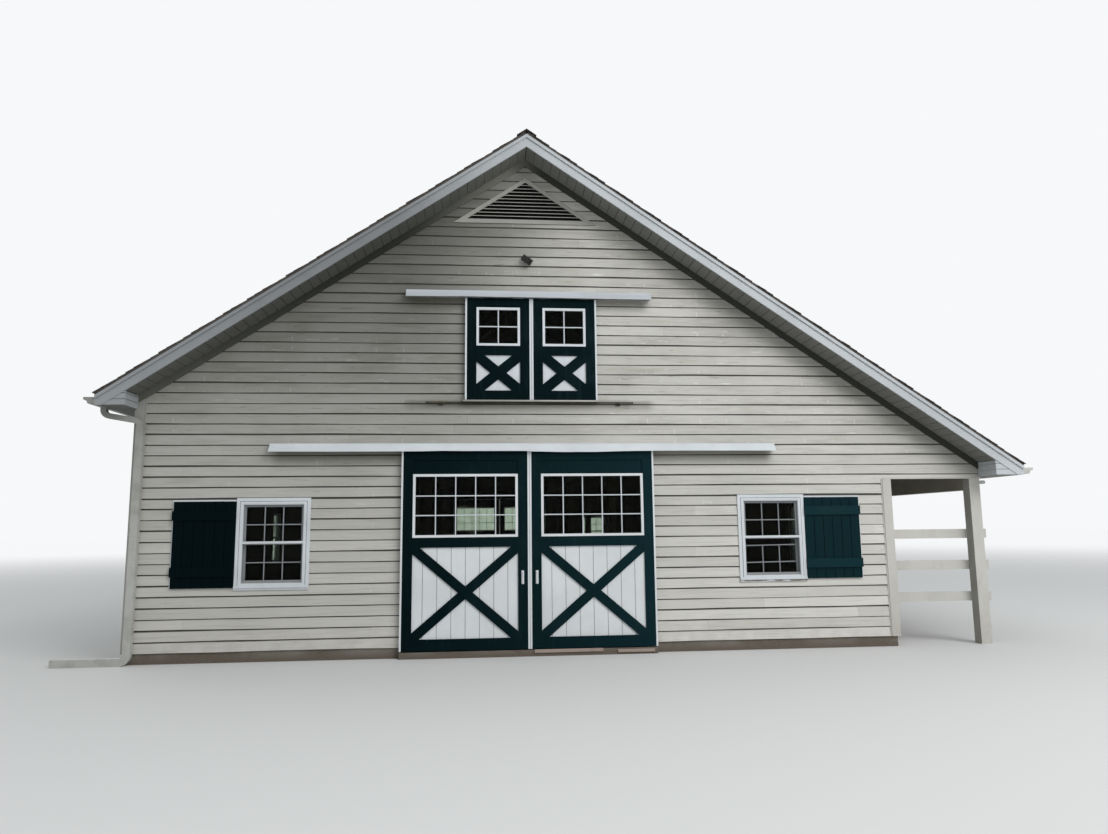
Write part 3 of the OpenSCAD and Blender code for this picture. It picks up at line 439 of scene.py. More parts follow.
class Paint(Nodes):
    """Builds one procedural material in layers. Lengths are metres from the building's origin."""

    def __init__(self, name, roughness=0.5, metallic=0.0, specular=0.25):
        self.material = bpy.data.materials.new(name)
        self.material.use_nodes = True
        super().__init__(self.material.node_tree)
        self.shader = self.tree.nodes["Principled BSDF"]
        self.set("Roughness", roughness)
        self.set("Metallic", metallic)
        self.set("Specular IOR Level", specular)
        self.where = self.add("TexCoord").outputs["Object"]
        self.x, self.y, self.z = self.add("SeparateXYZ", {0: self.where}).outputs
        self.colour = None

    def set(self, name, value):
        """Fills one input of the shader."""
        self.put(self.shader.inputs[name], value)

    def product(self, *values):
        result = values[0]
        for value in values[1:]:
            result = self.math("MULTIPLY", result, value)
        return result

    def away(self, value, centre):
        """How far a value lies from a centre, on either side."""
        return self.math("ABSOLUTE", self.math("SUBTRACT", value, centre))

    def past(self, value, half):
        """How far a place lies outside the walls along one axis."""
        return self.math("SUBTRACT", self.math("ABSOLUTE", value), half)

    def vector(self, x, y, z):
        return self.add("CombineXYZ", {0: x, 1: y, 2: z}).outputs[0]

    def scaled(self, x, y, z):
        """Coordinates with a scale for each axis."""
        return self.vector(self.product(self.x, x), self.product(self.y, y), self.product(self.z, z))

    def stretched(self, along, up, across=1.0):
        """Coordinates that run along any wall, with a scale for each direction."""
        u = self.math("ADD", self.x, self.y)
        v = self.math("SUBTRACT", self.x, self.y)
        return self.vector(self.product(u, along), self.product(v, across), self.product(self.z, up))

    def noise(self, vector=None, scale=1.0, detail=3.0, roughness=0.55):
        inputs = {"Vector": vector or self.where, "Scale": scale, "Detail": detail, "Roughness": roughness}
        return self.add("TexNoise", inputs).outputs[0]

    def random(self, vector):
        return self.add("TexWhiteNoise", {"Vector": vector}).outputs["Value"]

    def attribute(self, name):
        return self.add("Attribute", attribute_name=name).outputs["Fac"]

    def band(self, value, low, high, to_low=0.0, to_high=1.0):
        """A smooth step from one level to another."""
        inputs = {"Value": value, "From Min": low, "From Max": high, "To Min": to_low, "To Max": to_high}
        return self.add("MapRange", inputs, interpolation_type="SMOOTHSTEP").outputs[0]

    def spots(self, low, high, vector=None, scale=1.0, detail=3.0, roughness=0.55):
        """Soft patches where noise lies past a level."""
        return self.band(self.noise(vector, scale, detail, roughness), low, high)

    def mix(self, amount, a, b):
        return self.add("Mix", {0: amount, 6: a, 7: b}, data_type="RGBA").outputs[2]

    def lay(self, colour, *amounts):
        """Lays a colour over what is there, as thick as the product of the amounts."""
        self.colour = self.mix(self.product(*amounts), self.colour, colour)

    def mildew_and_shade(self, amount):
        """Dark grey film, part mould and part painted shade, strong at the upper left of the front and thin
        over all but the lower right.
        """
        # Part mould and part painted shade, strongest high on the left
        across = self.math("ADD", self.x, self.product(self.math("SUBTRACT", self.z, 3.35), 0.22))
        self.lay(MILDEW_AND_SHADE, self.band(self.z, 0.9, 5.8, 0.0, 0.74), self.band(across, 1.4, -1.4), amount)
        # A thinner film, part mould and part painted shade, darker upwards and to the left
        fall = self.math("SUBTRACT", self.product(self.z, 1.5), self.product(self.x, 0.4))
        self.lay(MILDEW_AND_SHADE, self.band(fall, 0.0, 2.5, 0.0, 0.13), amount)

    def bump(self, height, distance, normal=None):
        inputs = {"Strength": 1.0, "Distance": distance, "Height": height}
        if normal:
            inputs["Normal"] = normal
        return self.add("Bump", inputs).outputs[0]

    def finish(self, normal=None, roughness=None):
        self.set("Base Color", self.colour)
        if normal:
            self.set("Normal", normal)
        if roughness is not None:
            self.set("Roughness", roughness)
        return self.material


def siding_paint():
    """Cream paint on lap boards, greyed with height, with streaks and marks, a paler butt edge, and painted
    shade under the laps, the rakes, the peak and the hoods.
    """
    paint = Paint("siding_paint", roughness=0.6)
    shade, rise = paint.attribute("shade"), paint.attribute("rise")
    paint.colour = paint.mix(shade, (0.560, 0.546, 0.505), (0.655, 0.638, 0.598))
    # Grey weathering that grows up the wall
    height = paint.band(paint.z, 0.8, 4.6, 0.30, 1.0)
    streaks = paint.spots(0.46, 0.72, paint.stretched(0.55, 7.0), 1.0, 6.0, 0.62)
    paint.lay((0.375, 0.370, 0.315), streaks, height, 0.55)
    paint.lay((0.40, 0.40, 0.345), paint.spots(0.42, 0.68, paint.stretched(0.35, 0.9)), height, 0.30)
    # Pale marks where paint has lifted along the lower half of a board, and dull dashes
    flakes = paint.spots(0.62, 0.67, paint.stretched(2.4, 17.0), 1.0, 4.0, 0.7)
    paint.lay((0.760, 0.750, 0.700), flakes, paint.band(rise, 0.75, 0.2), height, 0.85)
    dashes = paint.spots(0.62, 0.70, paint.stretched(1.7, 22.0), 1.3, 5.0, 0.7)
    paint.lay((0.255, 0.235, 0.190), dashes, height, 0.75)
    # Nail lines at the studs, on some of the boards
    stud = paint.math("DIVIDE", paint.math("ADD", paint.x, paint.y), STUD_SPACING)
    line = paint.band(paint.away(paint.math("FRACT", stud), 0.5), 0.030, 0.012)
    pick = paint.random(paint.vector(paint.math("FLOOR", stud), paint.product(shade, 91.0), 0.0))
    spot = paint.spots(0.40, 0.55, scale=9.0, detail=2.0)
    tick = paint.product(line, paint.band(pick, 0.72, 0.76), height, spot, paint.band(rise, 0.60, 0.30))
    paint.lay((0.76, 0.75, 0.70), tick, 0.85)
    # Paler strip along the butt edge
    paint.lay((0.72, 0.705, 0.65), paint.band(rise, 0.045, 0.0), 0.45)
    # Mould with painted shade towards the upper left
    paint.mildew_and_shade(1.0)
    # Painted shade under the peak
    paint.lay(MILDEW_AND_SHADE, paint.band(paint.z, 5.2, 6.8, 0.0, 0.55), paint.band(paint.x, 1.0, -0.5))
    # Painted shade under the overhang of the right rake
    below = paint.math("SUBTRACT", ridge_z, paint.math("ADD", paint.product(paint.x, slope), paint.z))
    rake_shade = paint.band(below, frieze_depth + 0.38, frieze_depth, 0.0, 0.32)
    paint.lay(MILDEW_AND_SHADE, rake_shade, paint.band(paint.x, 0.5, 2.0))
    # Fine dark specks
    fine = paint.spots(0.50, 0.68, paint.stretched(0.9, 75.0), 1.0, 4.0, 0.6)
    paint.lay((0.200, 0.195, 0.160), fine, 0.22)
    # Dark bands under the hoods and the loft ledge: part stain, part painted shadow
    for centre, half, top, depth, amount in SHADOWS_AND_STAINS:
        inside = paint.band(paint.away(paint.x, centre), half + 0.05, half - 0.15)
        fade = paint.band(paint.z, top - depth, top, 0.0, amount)
        paint.lay((0.060, 0.064, 0.030), inside, fade, paint.band(paint.z, top + 0.05, top))
    # Painted shadow: a dark line under the butt of the next board
    lap_shadow_edge = paint.math("ADD", rise, paint.product(paint.noise(paint.stretched(1.3, 2.0)), 0.06))
    paint.lay((0.034, 0.032, 0.026), paint.band(lap_shadow_edge, 0.805, 0.870), 0.97)
    # Soil splashed on the lowest boards
    soil = paint.spots(0.40, 0.66, scale=5.0, detail=4.0)
    paint.lay((0.36, 0.31, 0.24), paint.band(paint.z, 0.60, 0.15), soil, 0.22)
    normal = paint.bump(paint.noise(paint.stretched(6.0, 120.0, 6.0)), 0.0008)
    return paint.finish(paint.bump(paint.noise(scale=3.5, detail=2.0), 0.006, normal))


def board_paint(name, colour, worn, grime, dirt=0.22, roughness=0.45, soil=0.0, deep=None, level=0.0,
                ramp=0.004, dull=0.0, right=0.0, shaded_face_x=0.0, bare_z=0.0):
    """Paint on plain boards: slight change of tone, wear and grime, and what the other values ask for."""
    paint = Paint(name, roughness=roughness)
    tone = paint.noise(scale=1.6)
    paint.colour = paint.mix(paint.band(tone, 0.35, 0.65), colour, tuple(c * 0.93 for c in colour))
    paint.lay(grime, paint.spots(0.50, 0.74, paint.stretched(1.1, 1.1, 1.1), 2.2, 6.0, 0.65), dirt)
    chips = paint.noise(scale=34.0, detail=4.0, roughness=0.7)
    patch = paint.spots(0.52, 0.62, scale=2.7, detail=2.0)
    paint.lay(worn, paint.band(chips, 0.66, 0.70), patch, 0.8)
    if soil:
        paint.lay((0.33, 0.28, 0.21), paint.band(paint.z, 0.7, 0.0), paint.band(chips, 0.3, 0.6), soil)
    if deep:
        # What lies behind a given level, measured from the wall's face, is in shade
        past = paint.math("MAXIMUM", paint.past(paint.x, half_w), paint.past(paint.y, half_l))
        paint.lay(deep, paint.band(past, level + ramp, level - ramp))
    # Mould with painted shade, as on the walls
    if dull:
        paint.mildew_and_shade(dull)
    # Painted shade over the right half
    if right:
        paint.lay(MILDEW_AND_SHADE, paint.band(paint.x, -0.3, 0.3, 0.0, right))
    if bare_z:
        # Paint has come off the sill of the window by the porch
        near = paint.band(paint.away(paint.z, bare_z), 0.020, 0.010)
        torn = paint.spots(0.46, 0.50, paint.stretched(4.0, 30.0), 1.0, 4.0, 0.7)
        at_front = paint.product(paint.band(paint.x, 2.0, 2.1), paint.band(paint.y, 0.0, -1.0))
        paint.lay((0.19, 0.145, 0.115), near, torn, at_front, 0.9)
    # Painted shade on the inner face of the post, at the given x
    if shaded_face_x:
        inner = paint.band(paint.x, shaded_face_x + 0.003, shaded_face_x + 0.001, 0.0, 0.42)
        paint.lay((0.10, 0.10, 0.085), inner)
    normal = paint.bump(paint.noise(paint.scaled(60.0, 60.0, 60.0)), 0.0006)
    return paint.finish(normal, paint.band(tone, 0.3, 0.7, roughness - 0.06, roughness + 0.10))


def green_paint():
    """Dark blue-green paint, with painted shade that makes it nearly black on the left and above the main
    doors, and dusty streaks along the boards.
    """
    paint = Paint("green_boards", roughness=0.6, specular=0.03)
    # Painted shade: nearly black on the left, full colour on the right
    paint.colour = paint.mix(paint.band(paint.x, -3.0, 4.6), GREEN_SHADE, GREEN_RIGHT)
    # Painted shade: darker above the main doors
    paint.lay(GREEN_SHADE, paint.band(paint.z, 3.2, 3.7, 0.0, 0.75))
    grain = paint.noise(paint.scaled(30.0, 30.0, 2.2), 1.0, 4.0, 0.6)
    cloud = paint.noise(scale=1.9, detail=4.0)
    dusty = paint.band(paint.x, -4.2, 4.0, 0.12, 1.0)
    paint.lay(GREEN_DUST, paint.band(grain, 0.52, 0.72, 0.0, 0.4), dusty)
    paint.lay(GREEN_DUST, paint.band(cloud, 0.50, 0.72, 0.0, 0.3), dusty)
    # Painted shade: the boards of the shutters, which lie behind their battens, are darker, and the grooves,
    # which lie deeper, darker still
    past = paint.past(paint.y, half_l)
    shutter = paint.band(paint.math("ABSOLUTE", paint.x), 4.00, 4.05)
    paint.lay(GREEN_SHADE, shutter, paint.band(past, 0.040, 0.036), 0.35)
    paint.lay((0.0004, 0.0022, 0.0028), shutter, paint.band(past, 0.0330, 0.0315), 0.9)
    chips = paint.spots(0.70, 0.74, scale=42.0, roughness=0.7)
    paint.lay((0.10, 0.12, 0.11), chips, paint.band(cloud, 0.50, 0.6), 0.35)
    return paint.finish(paint.bump(grain, 0.0010))


def lamp_paint():
    """Black housing of the floodlight and white housings of the twin light on the porch post."""
    paint = Paint("lamp_housings", roughness=0.45)
    speck = paint.noise(scale=30.0)
    worn = paint.band(speck, 0.4, 0.65)
    black = paint.mix(worn, (0.012, 0.012, 0.011), (0.030, 0.029, 0.026))
    white = paint.mix(worn, (0.66, 0.68, 0.68), (0.52, 0.53, 0.52))
    paint.colour = paint.mix(paint.band(paint.x, 3.0, 3.1), black, white)
    return paint.finish(paint.bump(speck, 0.0006))


def track_steel():
    """Galvanised track, and the rusted guide rail under the loft ledge."""
    paint = Paint("track_steel", roughness=0.6)
    patch = paint.noise(scale=7.0, detail=4.0)
    worn = paint.band(patch, 0.4, 0.65)
    zinc = paint.mix(worn, (0.34, 0.35, 0.35), (0.22, 0.21, 0.19))
    rust = paint.mix(worn, (0.030, 0.028, 0.016), (0.062, 0.052, 0.030))
    paint.colour = paint.mix(paint.band(paint.z, 3.80, 3.75), zinc, rust)
    return paint.finish(paint.bump(patch, 0.001))


def shingle_grit():
    """Mineral granules on asphalt shingles, each tab with its own tone."""
    paint = Paint("shingle_grit", roughness=0.9)
    paint.colour = paint.mix(paint.attribute("shade"), (0.030, 0.026, 0.024), (0.088, 0.074, 0.064))
    grit = paint.noise(scale=260.0, detail=2.0, roughness=0.8)
    paint.lay((0.125, 0.110, 0.098), paint.band(grit, 0.42, 0.62))
    paint.lay((0.110, 0.104, 0.094), paint.spots(0.45, 0.70, scale=0.8, detail=4.0), 0.35)
    return paint.finish(paint.bump(grit, 0.0012))


def bare_wood(name, roughness, stretch, scale, levels, tones, aged, amount, age_scale, age_levels, depth):
    """Unpainted wood with a grain, aged in large patches."""
    paint = Paint(name, roughness=roughness)
    grain = paint.noise(paint.stretched(*stretch), scale, 5.0, 0.6)
    paint.colour = paint.mix(paint.band(grain, *levels), *tones)
    paint.lay(aged, paint.spots(*age_levels, scale=age_scale), amount)
    return paint.finish(paint.bump(grain, depth))


def concrete():
    """Weathered grey-brown concrete with soil stains."""
    paint = Paint("weathered_concrete", roughness=0.92)
    cloud = paint.noise(scale=1.7, detail=5.0)
    sand = paint.noise(scale=90.0, roughness=0.7)
    paint.colour = paint.mix(paint.band(cloud, 0.35, 0.65), (0.120, 0.100, 0.080), (0.195, 0.175, 0.148))
    paint.lay((0.25, 0.23, 0.195), paint.band(sand, 0.5, 0.7), 0.5)
    paint.lay((0.095, 0.075, 0.055), paint.band(paint.z, 0.13, 0.0), paint.band(cloud, 0.3, 0.6), 0.7)
    return paint.finish(paint.bump(cloud, 0.01, paint.bump(sand, 0.003)))


def metal(name, colour, dull, roughness, metallic, film=0.0):
    """Sheet or bar metal with dull patches and specks."""
    paint = Paint(name, roughness=roughness, metallic=metallic, specular=0.4)
    patch = paint.noise(scale=5.0, detail=5.0, roughness=0.6)
    paint.colour = paint.mix(paint.band(patch, 0.42, 0.68), colour, dull)
    paint.lay(tuple(c * 0.6 for c in dull), paint.spots(0.62, 0.70, scale=42.0, roughness=0.7), 0.5)
    # A film of mould with painted shade, as on the walls
    if film:
        paint.mildew_and_shade(film)
    normal = paint.bump(paint.noise(scale=6.0, detail=2.0), 0.002)
    return paint.finish(normal, paint.band(patch, 0.3, 0.7, roughness, roughness + 0.15))


def window_glass():
    """Thin clear glass with a little dust."""
    paint = Paint("window_glass", roughness=0.04, specular=0.5)
    paint.set("IOR", GLASS_IOR)
    paint.set("Transmission Weight", 1.0)
    dust = paint.noise(scale=2.2, detail=5.0, roughness=0.6)
    paint.colour = paint.mix(paint.band(dust, 0.35, 0.75), (0.58, 0.65, 0.57), (0.48, 0.54, 0.47))
    return paint.finish(roughness=paint.band(dust, 0.45, 0.8, 0.03, 0.16))


main_hood, loft_hood = (
    next(box for box in solids("track_covers") if box[1].y < 0 and (box[0].z > loft_z) == high_up)
    for high_up in (False, True)
)
# Centre, half length, top, depth and strength of each dark band under a hood or the loft ledge, part stain
# and part painted shadow
SHADOWS_AND_STAINS = (
    (axis_x, (main_hood[1].x - main_hood[0].x) / 2, main_hood[0].z + 0.01, 0.30, 0.55),
    (loft_x, (loft_hood[1].x - loft_hood[0].x) / 2, loft_hood[0].z + 0.01, 0.26, 0.45),
    (loft_x, 1.9, span("loft_ledges")[0].z, 0.22, 0.50),
)

paints = {
    "siding": siding_paint(),
    "cream_trim": board_paint("cream_boards", CREAM, *WORN_CREAM, soil=0.4, dull=1.0),
    "white_trim": board_paint("white_boards", WHITE, WORN_WHITE, (0.40, 0.41, 0.40)),
    "door_green": green_paint(),
    "shingles": shingle_grit(),
    "timber": bare_wood(
        "sawn_timber", 0.75, (1.5, 26.0, 1.5), 1.4, (0.35, 0.68),
        ((0.070, 0.051, 0.032), (0.115, 0.085, 0.054)), (0.060, 0.052, 0.042), 0.4, 0.9, (0.45, 0.70), 0.0012,
    ),
    "concrete": concrete(),
    "steel": metal("galvanised_steel", (0.42, 0.43, 0.44), (0.24, 0.22, 0.20), 0.42, 0.9),
    "glass": window_glass(),
    "rainwater": metal("gutter_enamel", (0.52, 0.52, 0.49), (0.43, 0.43, 0.395), 0.38, 0.0, 1.0),
    "lamp": lamp_paint(),
}
walls_inside = bare_wood(
    "wall_sheathing", 0.8, (8.0, 1.2, 8.0), 1.2, (0.38, 0.66),
    ((0.050, 0.038, 0.026), (0.080, 0.062, 0.043)), (0.037, 0.030, 0.022), 0.5, 0.7, (0.48, 0.72), 0.001,
)
window_white = board_paint(
    "window_boards", WHITE, *WORN_SASH, deep=SASH_SHADE, bare_z=span("window_frames")[0].z + 0.016,
)
glazing_white = board_paint("glazing_bar_paint", WHITE, *WORN_SASH, deep=SASH_SHADE)
rake_white = board_paint(
    "rake_boards", (0.515, 0.542, 0.563), (0.40, 0.38, 0.34), (0.33, 0.34, 0.33), dull=0.75,
)
panel_white = board_paint(
    "grooved_panels", (0.70, 0.725, 0.74), WORN_WHITE, (0.52, 0.53, 0.52),
    deep=(0.33, 0.335, 0.33), level=0.0785, ramp=0.0012,
)
loft_hood_white = board_paint("loft_hood_sheet", (0.50, 0.53, 0.56), WORN_WHITE, (0.34, 0.35, 0.34))
vent_cream = board_paint(
    "vent_slats", (0.31, 0.305, 0.28), (0.50, 0.49, 0.45), (0.25, 0.25, 0.21), 0.4, 0.55,
    deep=(0.003, 0.003, 0.0025), level=TRIM_T - 0.009,
)
# Painted shadow for the gap between the storm frames and the casing
gap_shadow = board_paint("storm_gap_shadows", (0.06, 0.06, 0.055), (0.10, 0.10, 0.09), (0.04, 0.04, 0.035), 0.3, 0.7)
# Painted shade: the sash foot rails behind the storm glass are grey
sash_rail_shade = board_paint(
    "shaded_sash_foot_rails", (0.27, 0.275, 0.275), (0.33, 0.30, 0.26), (0.20, 0.20, 0.19), 0.3, 0.6,
)
# Painted shade: the soffit panels are given a dark grey, with a thin film of mould and shade
soffit_shaded = board_paint(
    "shaded_soffit_boards", (0.190, 0.193, 0.173), (0.18, 0.17, 0.15), (0.13, 0.13, 0.11), 0.4, 0.6, dull=0.55,
)
# Painted shade: the frieze under the soffits is given a dark cream, a heavy film of mould and shade, and a
# darker right half
frieze_shaded_cream = board_paint(
    "frieze_boards", (0.285, 0.287, 0.252), (0.34, 0.33, 0.30), (0.25, 0.25, 0.21), 0.4, 0.6,
    dull=1.25, right=0.85,
)
# Painted shade: the porch header is given a dark cream
header_shaded = board_paint(
    "shaded_header_boards", (0.26, 0.245, 0.20), (0.30, 0.29, 0.26), (0.17, 0.16, 0.12), 0.4, 0.6,
)
# The porch posts, with painted shade on their inner face
post_cream = board_paint("post_boards", CREAM, *WORN_CREAM, soil=0.25, shaded_face_x=span("porch_posts")[0].x)
weathered_board = board_paint(
    "weathered_board", (0.36, 0.285, 0.245), (0.47, 0.41, 0.36), (0.20, 0.155, 0.13), 0.6, 0.8,
)
NODE_PAINTS = {
    "window_frames": window_white, "rake_fascias": rake_white, "eave_fascias": rake_white,
    "eave_returns": rake_white, "frieze_boards": frieze_shaded_cream, "porch_header": header_shaded,
    "porch_posts": post_cream, "door_tracks": track_steel(), "left_door_trim": panel_white,
    "right_door_trim": panel_white, "gable_vents": vent_cream,
}
HIDDEN_FACES = ("front_wall", "front_gable", "back_wall", "back_gable", "left_wall", "right_wall")


def dress_frame():
    """Gives every CAD node its material."""
    for node, piece in frame["nodes"].items():
        paint = walls_inside if node in HIDDEN_FACES else NODE_PAINTS.get(node, paints[node_slots[node]])
        piece.data.materials.clear()
        piece.data.materials.append(paint)


# Lap siding

class Hole:
    """A cut-out in a wall, with sides that may lean in as it rises."""

    def __init__(self, u0, u1, z0, z1, lean=0.0):
        self.u0, self.u1, self.z0, self.z1, self.lean = u0, u1, z0, z1, lean

    def cut(self, z):
        shift = self.lean * (z - self.z0)
        return self.u0 + shift, self.u1 - shift


def subtract(parts, hole):
    """Takes a hole, as its cut at the foot and the head, out of a list of board parts."""
    kept = []
    (a0, b0), (a1, b1) = hole
    for (l0, r0), (l1, r1) in parts:
        if b0 <= l0 or a0 >= r0:
            kept.append(((l0, r0), (l1, r1)))
            continue
        if a0 > l0:
            kept.append(((l0, a0), (l1, a1)))
        if b0 < r0:
            kept.append(((b0, r0), (b1, r1)))
    return kept


class Course:
    """One course of lap boards, with its own slight tilt and waves, and a tone for each board."""

    def __init__(self, foot, rng):
        self.foot = foot
        self.phases = [rng.uniform(0, 6.28) for _ in range(3)]
        self.tilt = rng.uniform(-0.0012, 0.0012)
        self.start = rng.uniform(0, BOARD_LENGTH)
        self.tones = [rng.random() for _ in range(TONES)]

    def wave(self, u):
        a, b, c = self.phases
        sway = math.sin(0.9 * u + a) + 0.6 * math.sin(2.3 * u + b) + 0.35 * math.sin(5.1 * u + c)
        return SAG * sway + self.tilt * u

    def boards(self, l0, l1, r0, r1):
        """The boards between two ends, each as its lower and upper ends and its number."""
        edges = [(l0, l1, 0)]
        seam = self.start - 4 * BOARD_LENGTH
        number = 0
        while seam < max(r0, r1):
            if max(l0, l1) + SEAM_MARGIN < seam < min(r0, r1) - SEAM_MARGIN:
                edges.append((seam, seam, number))
            seam += BOARD_LENGTH
            number += 1
        edges.append((r0, r1, 0))
        for k, ((a0, a1, number), (b0, b1, _)) in enumerate(zip(edges, edges[1:])):
            gap = BOARD_GAP if k else 0.0
            if b0 - a0 - gap >= SLIVER and b1 - a1 - gap >= -1e-6:
                yield (a0 + gap, b0, a1 + gap, b1), number

    def strip(self, pile, place, ends, z0, z1, number):
        """One board or part of one, with stations along it so that its butt can wave."""
        a0, b0, a1, b1 = ends
        rises = [(z - self.foot) / COURSE for z in (z0, z1)]
        faces = [BUTT + (FEATHER - BUTT) * rise for rise in rises]
        backs = [(FEATHER + 0.0005) * max(0.0, 1 - rise) for rise in rises]
        if z1 - self.foot >= COURSE:
            backs[1] = -0.001
        count = max(1, round((b0 - a0) / STATION))
        rings = []
        for i in range(count + 1):
            low_u = a0 + (b0 - a0) * i / count
            high_u = a1 + (b1 - a1) * i / count
            low_z = z0 + (self.wave(low_u) if z0 == self.foot else 0.0)
            low = [place(low_u, low_z, n) for n in (backs[0], faces[0])]
            rings.append(low + [place(high_u, z1, n) for n in (faces[1], backs[1])])
        top = min(1.0, rises[1])
        pile.tube(rings, self.tones[number % TONES], [rises[0], rises[0], top, top])


def lap_siding(name, place, reach, breaks, holes, top, rng):
    """Lap boards on one wall. reach(z, middle) gives the wall's two ends at a height."""
    pile = Pile()
    foot = siding_foot
    number = 0
    while foot < top:
        head = min(foot + COURSE, top)
        course = Course(foot, rng)
        marks = [*breaks, *(z for hole in holes for z in (hole.z0, hole.z1))]
        marks = sorted({foot, head, *(z for z in marks if foot + 1e-4 < z < head - 1e-4)})
        for z0, z1 in zip(marks, marks[1:]):
            middle = (z0 + z1) / 2
            parts = [(reach(z0, middle), reach(z1, middle))]
            for hole in holes:
                if hole.z0 < middle < hole.z1:
                    parts = subtract(parts, (hole.cut(z0), hole.cut(z1)))
            tuck = TUCK if z1 == head and head < top else 0.0
            for (l0, r0), (l1, r1) in parts:
                for ends, board in course.boards(l0, l1, r0, r1):
                    course.strip(pile, place, ends, z0, z1 + tuck, board)
        number += 1
        foot = siding_foot + number * COURSE
    return pile.make(name, "siding")


def end_holes(sign):
    """Everything that the siding of a gable end stops against."""
    holes = [
        Hole(axis_x - door_half - JAMB_W, axis_x + door_half + JAMB_W, 0.0, track_z),
        Hole(loft_x - loft_half, loft_x + loft_half, loft_z, loft_head),
    ]
    for low, high in solids("window_frames"):
        if low.y * sign > half_l - 0.3:
            holes.append(Hole(low.x, high.x, low.z, high.z))
    for low, high in solids("track_covers"):
        if high.y * sign > 0:
            holes.append(Hole(low.x, high.x, high.z - LEDGER_H, high.z))
    ledge_low, ledge_high = span("loft_ledges")
    holes.append(Hole(ledge_low.x, ledge_high.x, ledge_low.z, ledge_high.z))
    vent_low, vent_high = span("gable_vents")
    holes.append(Hole(vent_low.x, vent_high.x, vent_low.z, vent_high.z, 1 / slope))
    return holes


def end_reach(z, middle):
    """Left and right limits of the siding on a gable end."""
    sloped = (ridge_z - frieze_depth - z) / slope
    on_right = porch_x if middle > apron_z else corner_x
    return -min(corner_x, sloped), min(on_right, sloped)


def end_siding():
    """Siding on both gable ends."""
    frieze_line = ridge_z - frieze_depth
    kinks = [frieze_line - slope * corner_x, frieze_line - slope * porch_x, apron_z]
    for name, place, sign in (("front_siding", front, -1), ("back_siding", back, 1)):
        rng = random.Random(SEED + sign)
        lap_siding(name, place, end_reach, kinks, end_holes(sign), frieze_line - 0.02, rng)


def side_siding():
    """Siding on the two long walls, round their windows."""
    limit = half_l - CORNER_LEG
    tops = {-1: span("eave_soffits")[1].z - 0.012, 1: roof_z(half_w) - rafter_depth}
    for name, place, sign in (("left_siding", left, -1), ("right_siding", right, 1)):
        holes = []
        for low, high in solids("window_frames"):
            if low.x * sign > half_w - 0.3:
                holes.append(Hole(low.y, high.y, low.z, high.z))
        rng = random.Random(SEED + 10 + sign)
        lap_siding(name, place, lambda z, middle: (-limit, limit), [], holes, tops[sign], rng)


# Roof covering

def roof_slope(name, side, edge):
    """Boards and laminated shingles on one slope, inside the thickness of the CAD skin."""
    rng = random.Random(SEED + 20 + side)
    down = Vector((side * math.cos(pitch), 0, -math.sin(pitch)))
    normal = Vector((side * math.sin(pitch), 0, math.cos(pitch)))
    ridge = Vector((0, 0, ridge_z + 0.0005))
    length = edge / math.cos(pitch) - 0.03
    reach = roof_high.y

    def at(s, y, n):
        return ridge + down * s + normal * n + Vector((0, y, 0))

    def slab(pile, s0, s1, y0, y1, low, up, butt, shade):
        pile.tube([[at(s0, y, low), at(s1, y, low), at(s1, y, butt), at(s0, y, up)] for y in (y0, y1)], shade)

    deck = Pile()
    end = reach - DECK_IN
    slab(deck, 0.0, length - 0.01, -end, end, 0.0, DECK_T, DECK_T, 0.5)
    deck.make(name + "_deck", "timber")

    pile = Pile()
    for sign in (-1, 1):
        y = sorted((sign * (end + 0.0005), sign * (reach - RAKE_EDGE)))
        slab(pile, 0.0, length - 0.01, y[0], y[1], 0.0, DECK_T, DECK_T, 0.0)
    courses = math.ceil(length / EXPOSURE)
    for i in range(courses):
        butt = length - i * EXPOSURE
        head = max(0.0, butt - EXPOSURE - SHINGLE_TUCK)
        back_step = STEP_OUT * (i // 2 % 2)
        y_low = -reach + back_step + rng.uniform(0.001, RAGGED)
        y_high = reach - back_step - rng.uniform(0.001, RAGGED)
        y = y_low
        while y < y_high:
            y_next = min(y_high, y + rng.uniform(*SHINGLE_W))
            slab(
                pile, head, butt, y, y_next, DECK_T + 0.0005, DECK_T + 0.001, DECK_T + SHINGLE_BUTT,
                rng.uniform(0.0, 0.45),
            )
            y = y_next
        y = y_low + rng.uniform(0.0, 0.1)
        while y < y_high - 0.05:
            y_next = min(y_high, y + rng.uniform(*TAB_W))
            slab(
                pile, head, butt, y, y_next, DECK_T + 0.0007, DECK_T + 0.001 + TAB_RISE,
                DECK_T + SHINGLE_BUTT + TAB_RISE, rng.uniform(0.25, 1.0),
            )
            y = y_next + rng.uniform(*TAB_GAP)
    covering = pile.make(name + "_shingles", "shingles")
    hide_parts(name)


def ridge_caps():
    """Folded caps lapped along the ridge."""
    rng = random.Random(SEED + 30)
    low, high = span("ridge_cap")
    wing = high.x - 0.003
    pile = Pile()
    count = math.ceil((high.y - low.y) / CAP_EXPOSURE)
    for i in range(count):
        y0 = low.y + i * CAP_EXPOSURE
        y1 = min(high.y, y0 + CAP_EXPOSURE + SHINGLE_TUCK)
        top = high.z - 0.002 - rng.uniform(0.0, 0.003)
        shade = rng.uniform(0.2, 1.0)
        for side in (-1, 1):
            tip = -wing * slope
            outline = ((0, 0), (side * wing, tip), (side * wing, tip - CAP_T), (0, -CAP_T))
            rings = [[Vector((x, y, z + v)) for x, v in outline] for y, z in ((y0, top), (y1, top - 0.008))]
            pile.tube(rings, shade)
    caps = pile.make("ridge_caps", "shingles")
    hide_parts("ridge_cap")


# Boards under and along the roof's edges

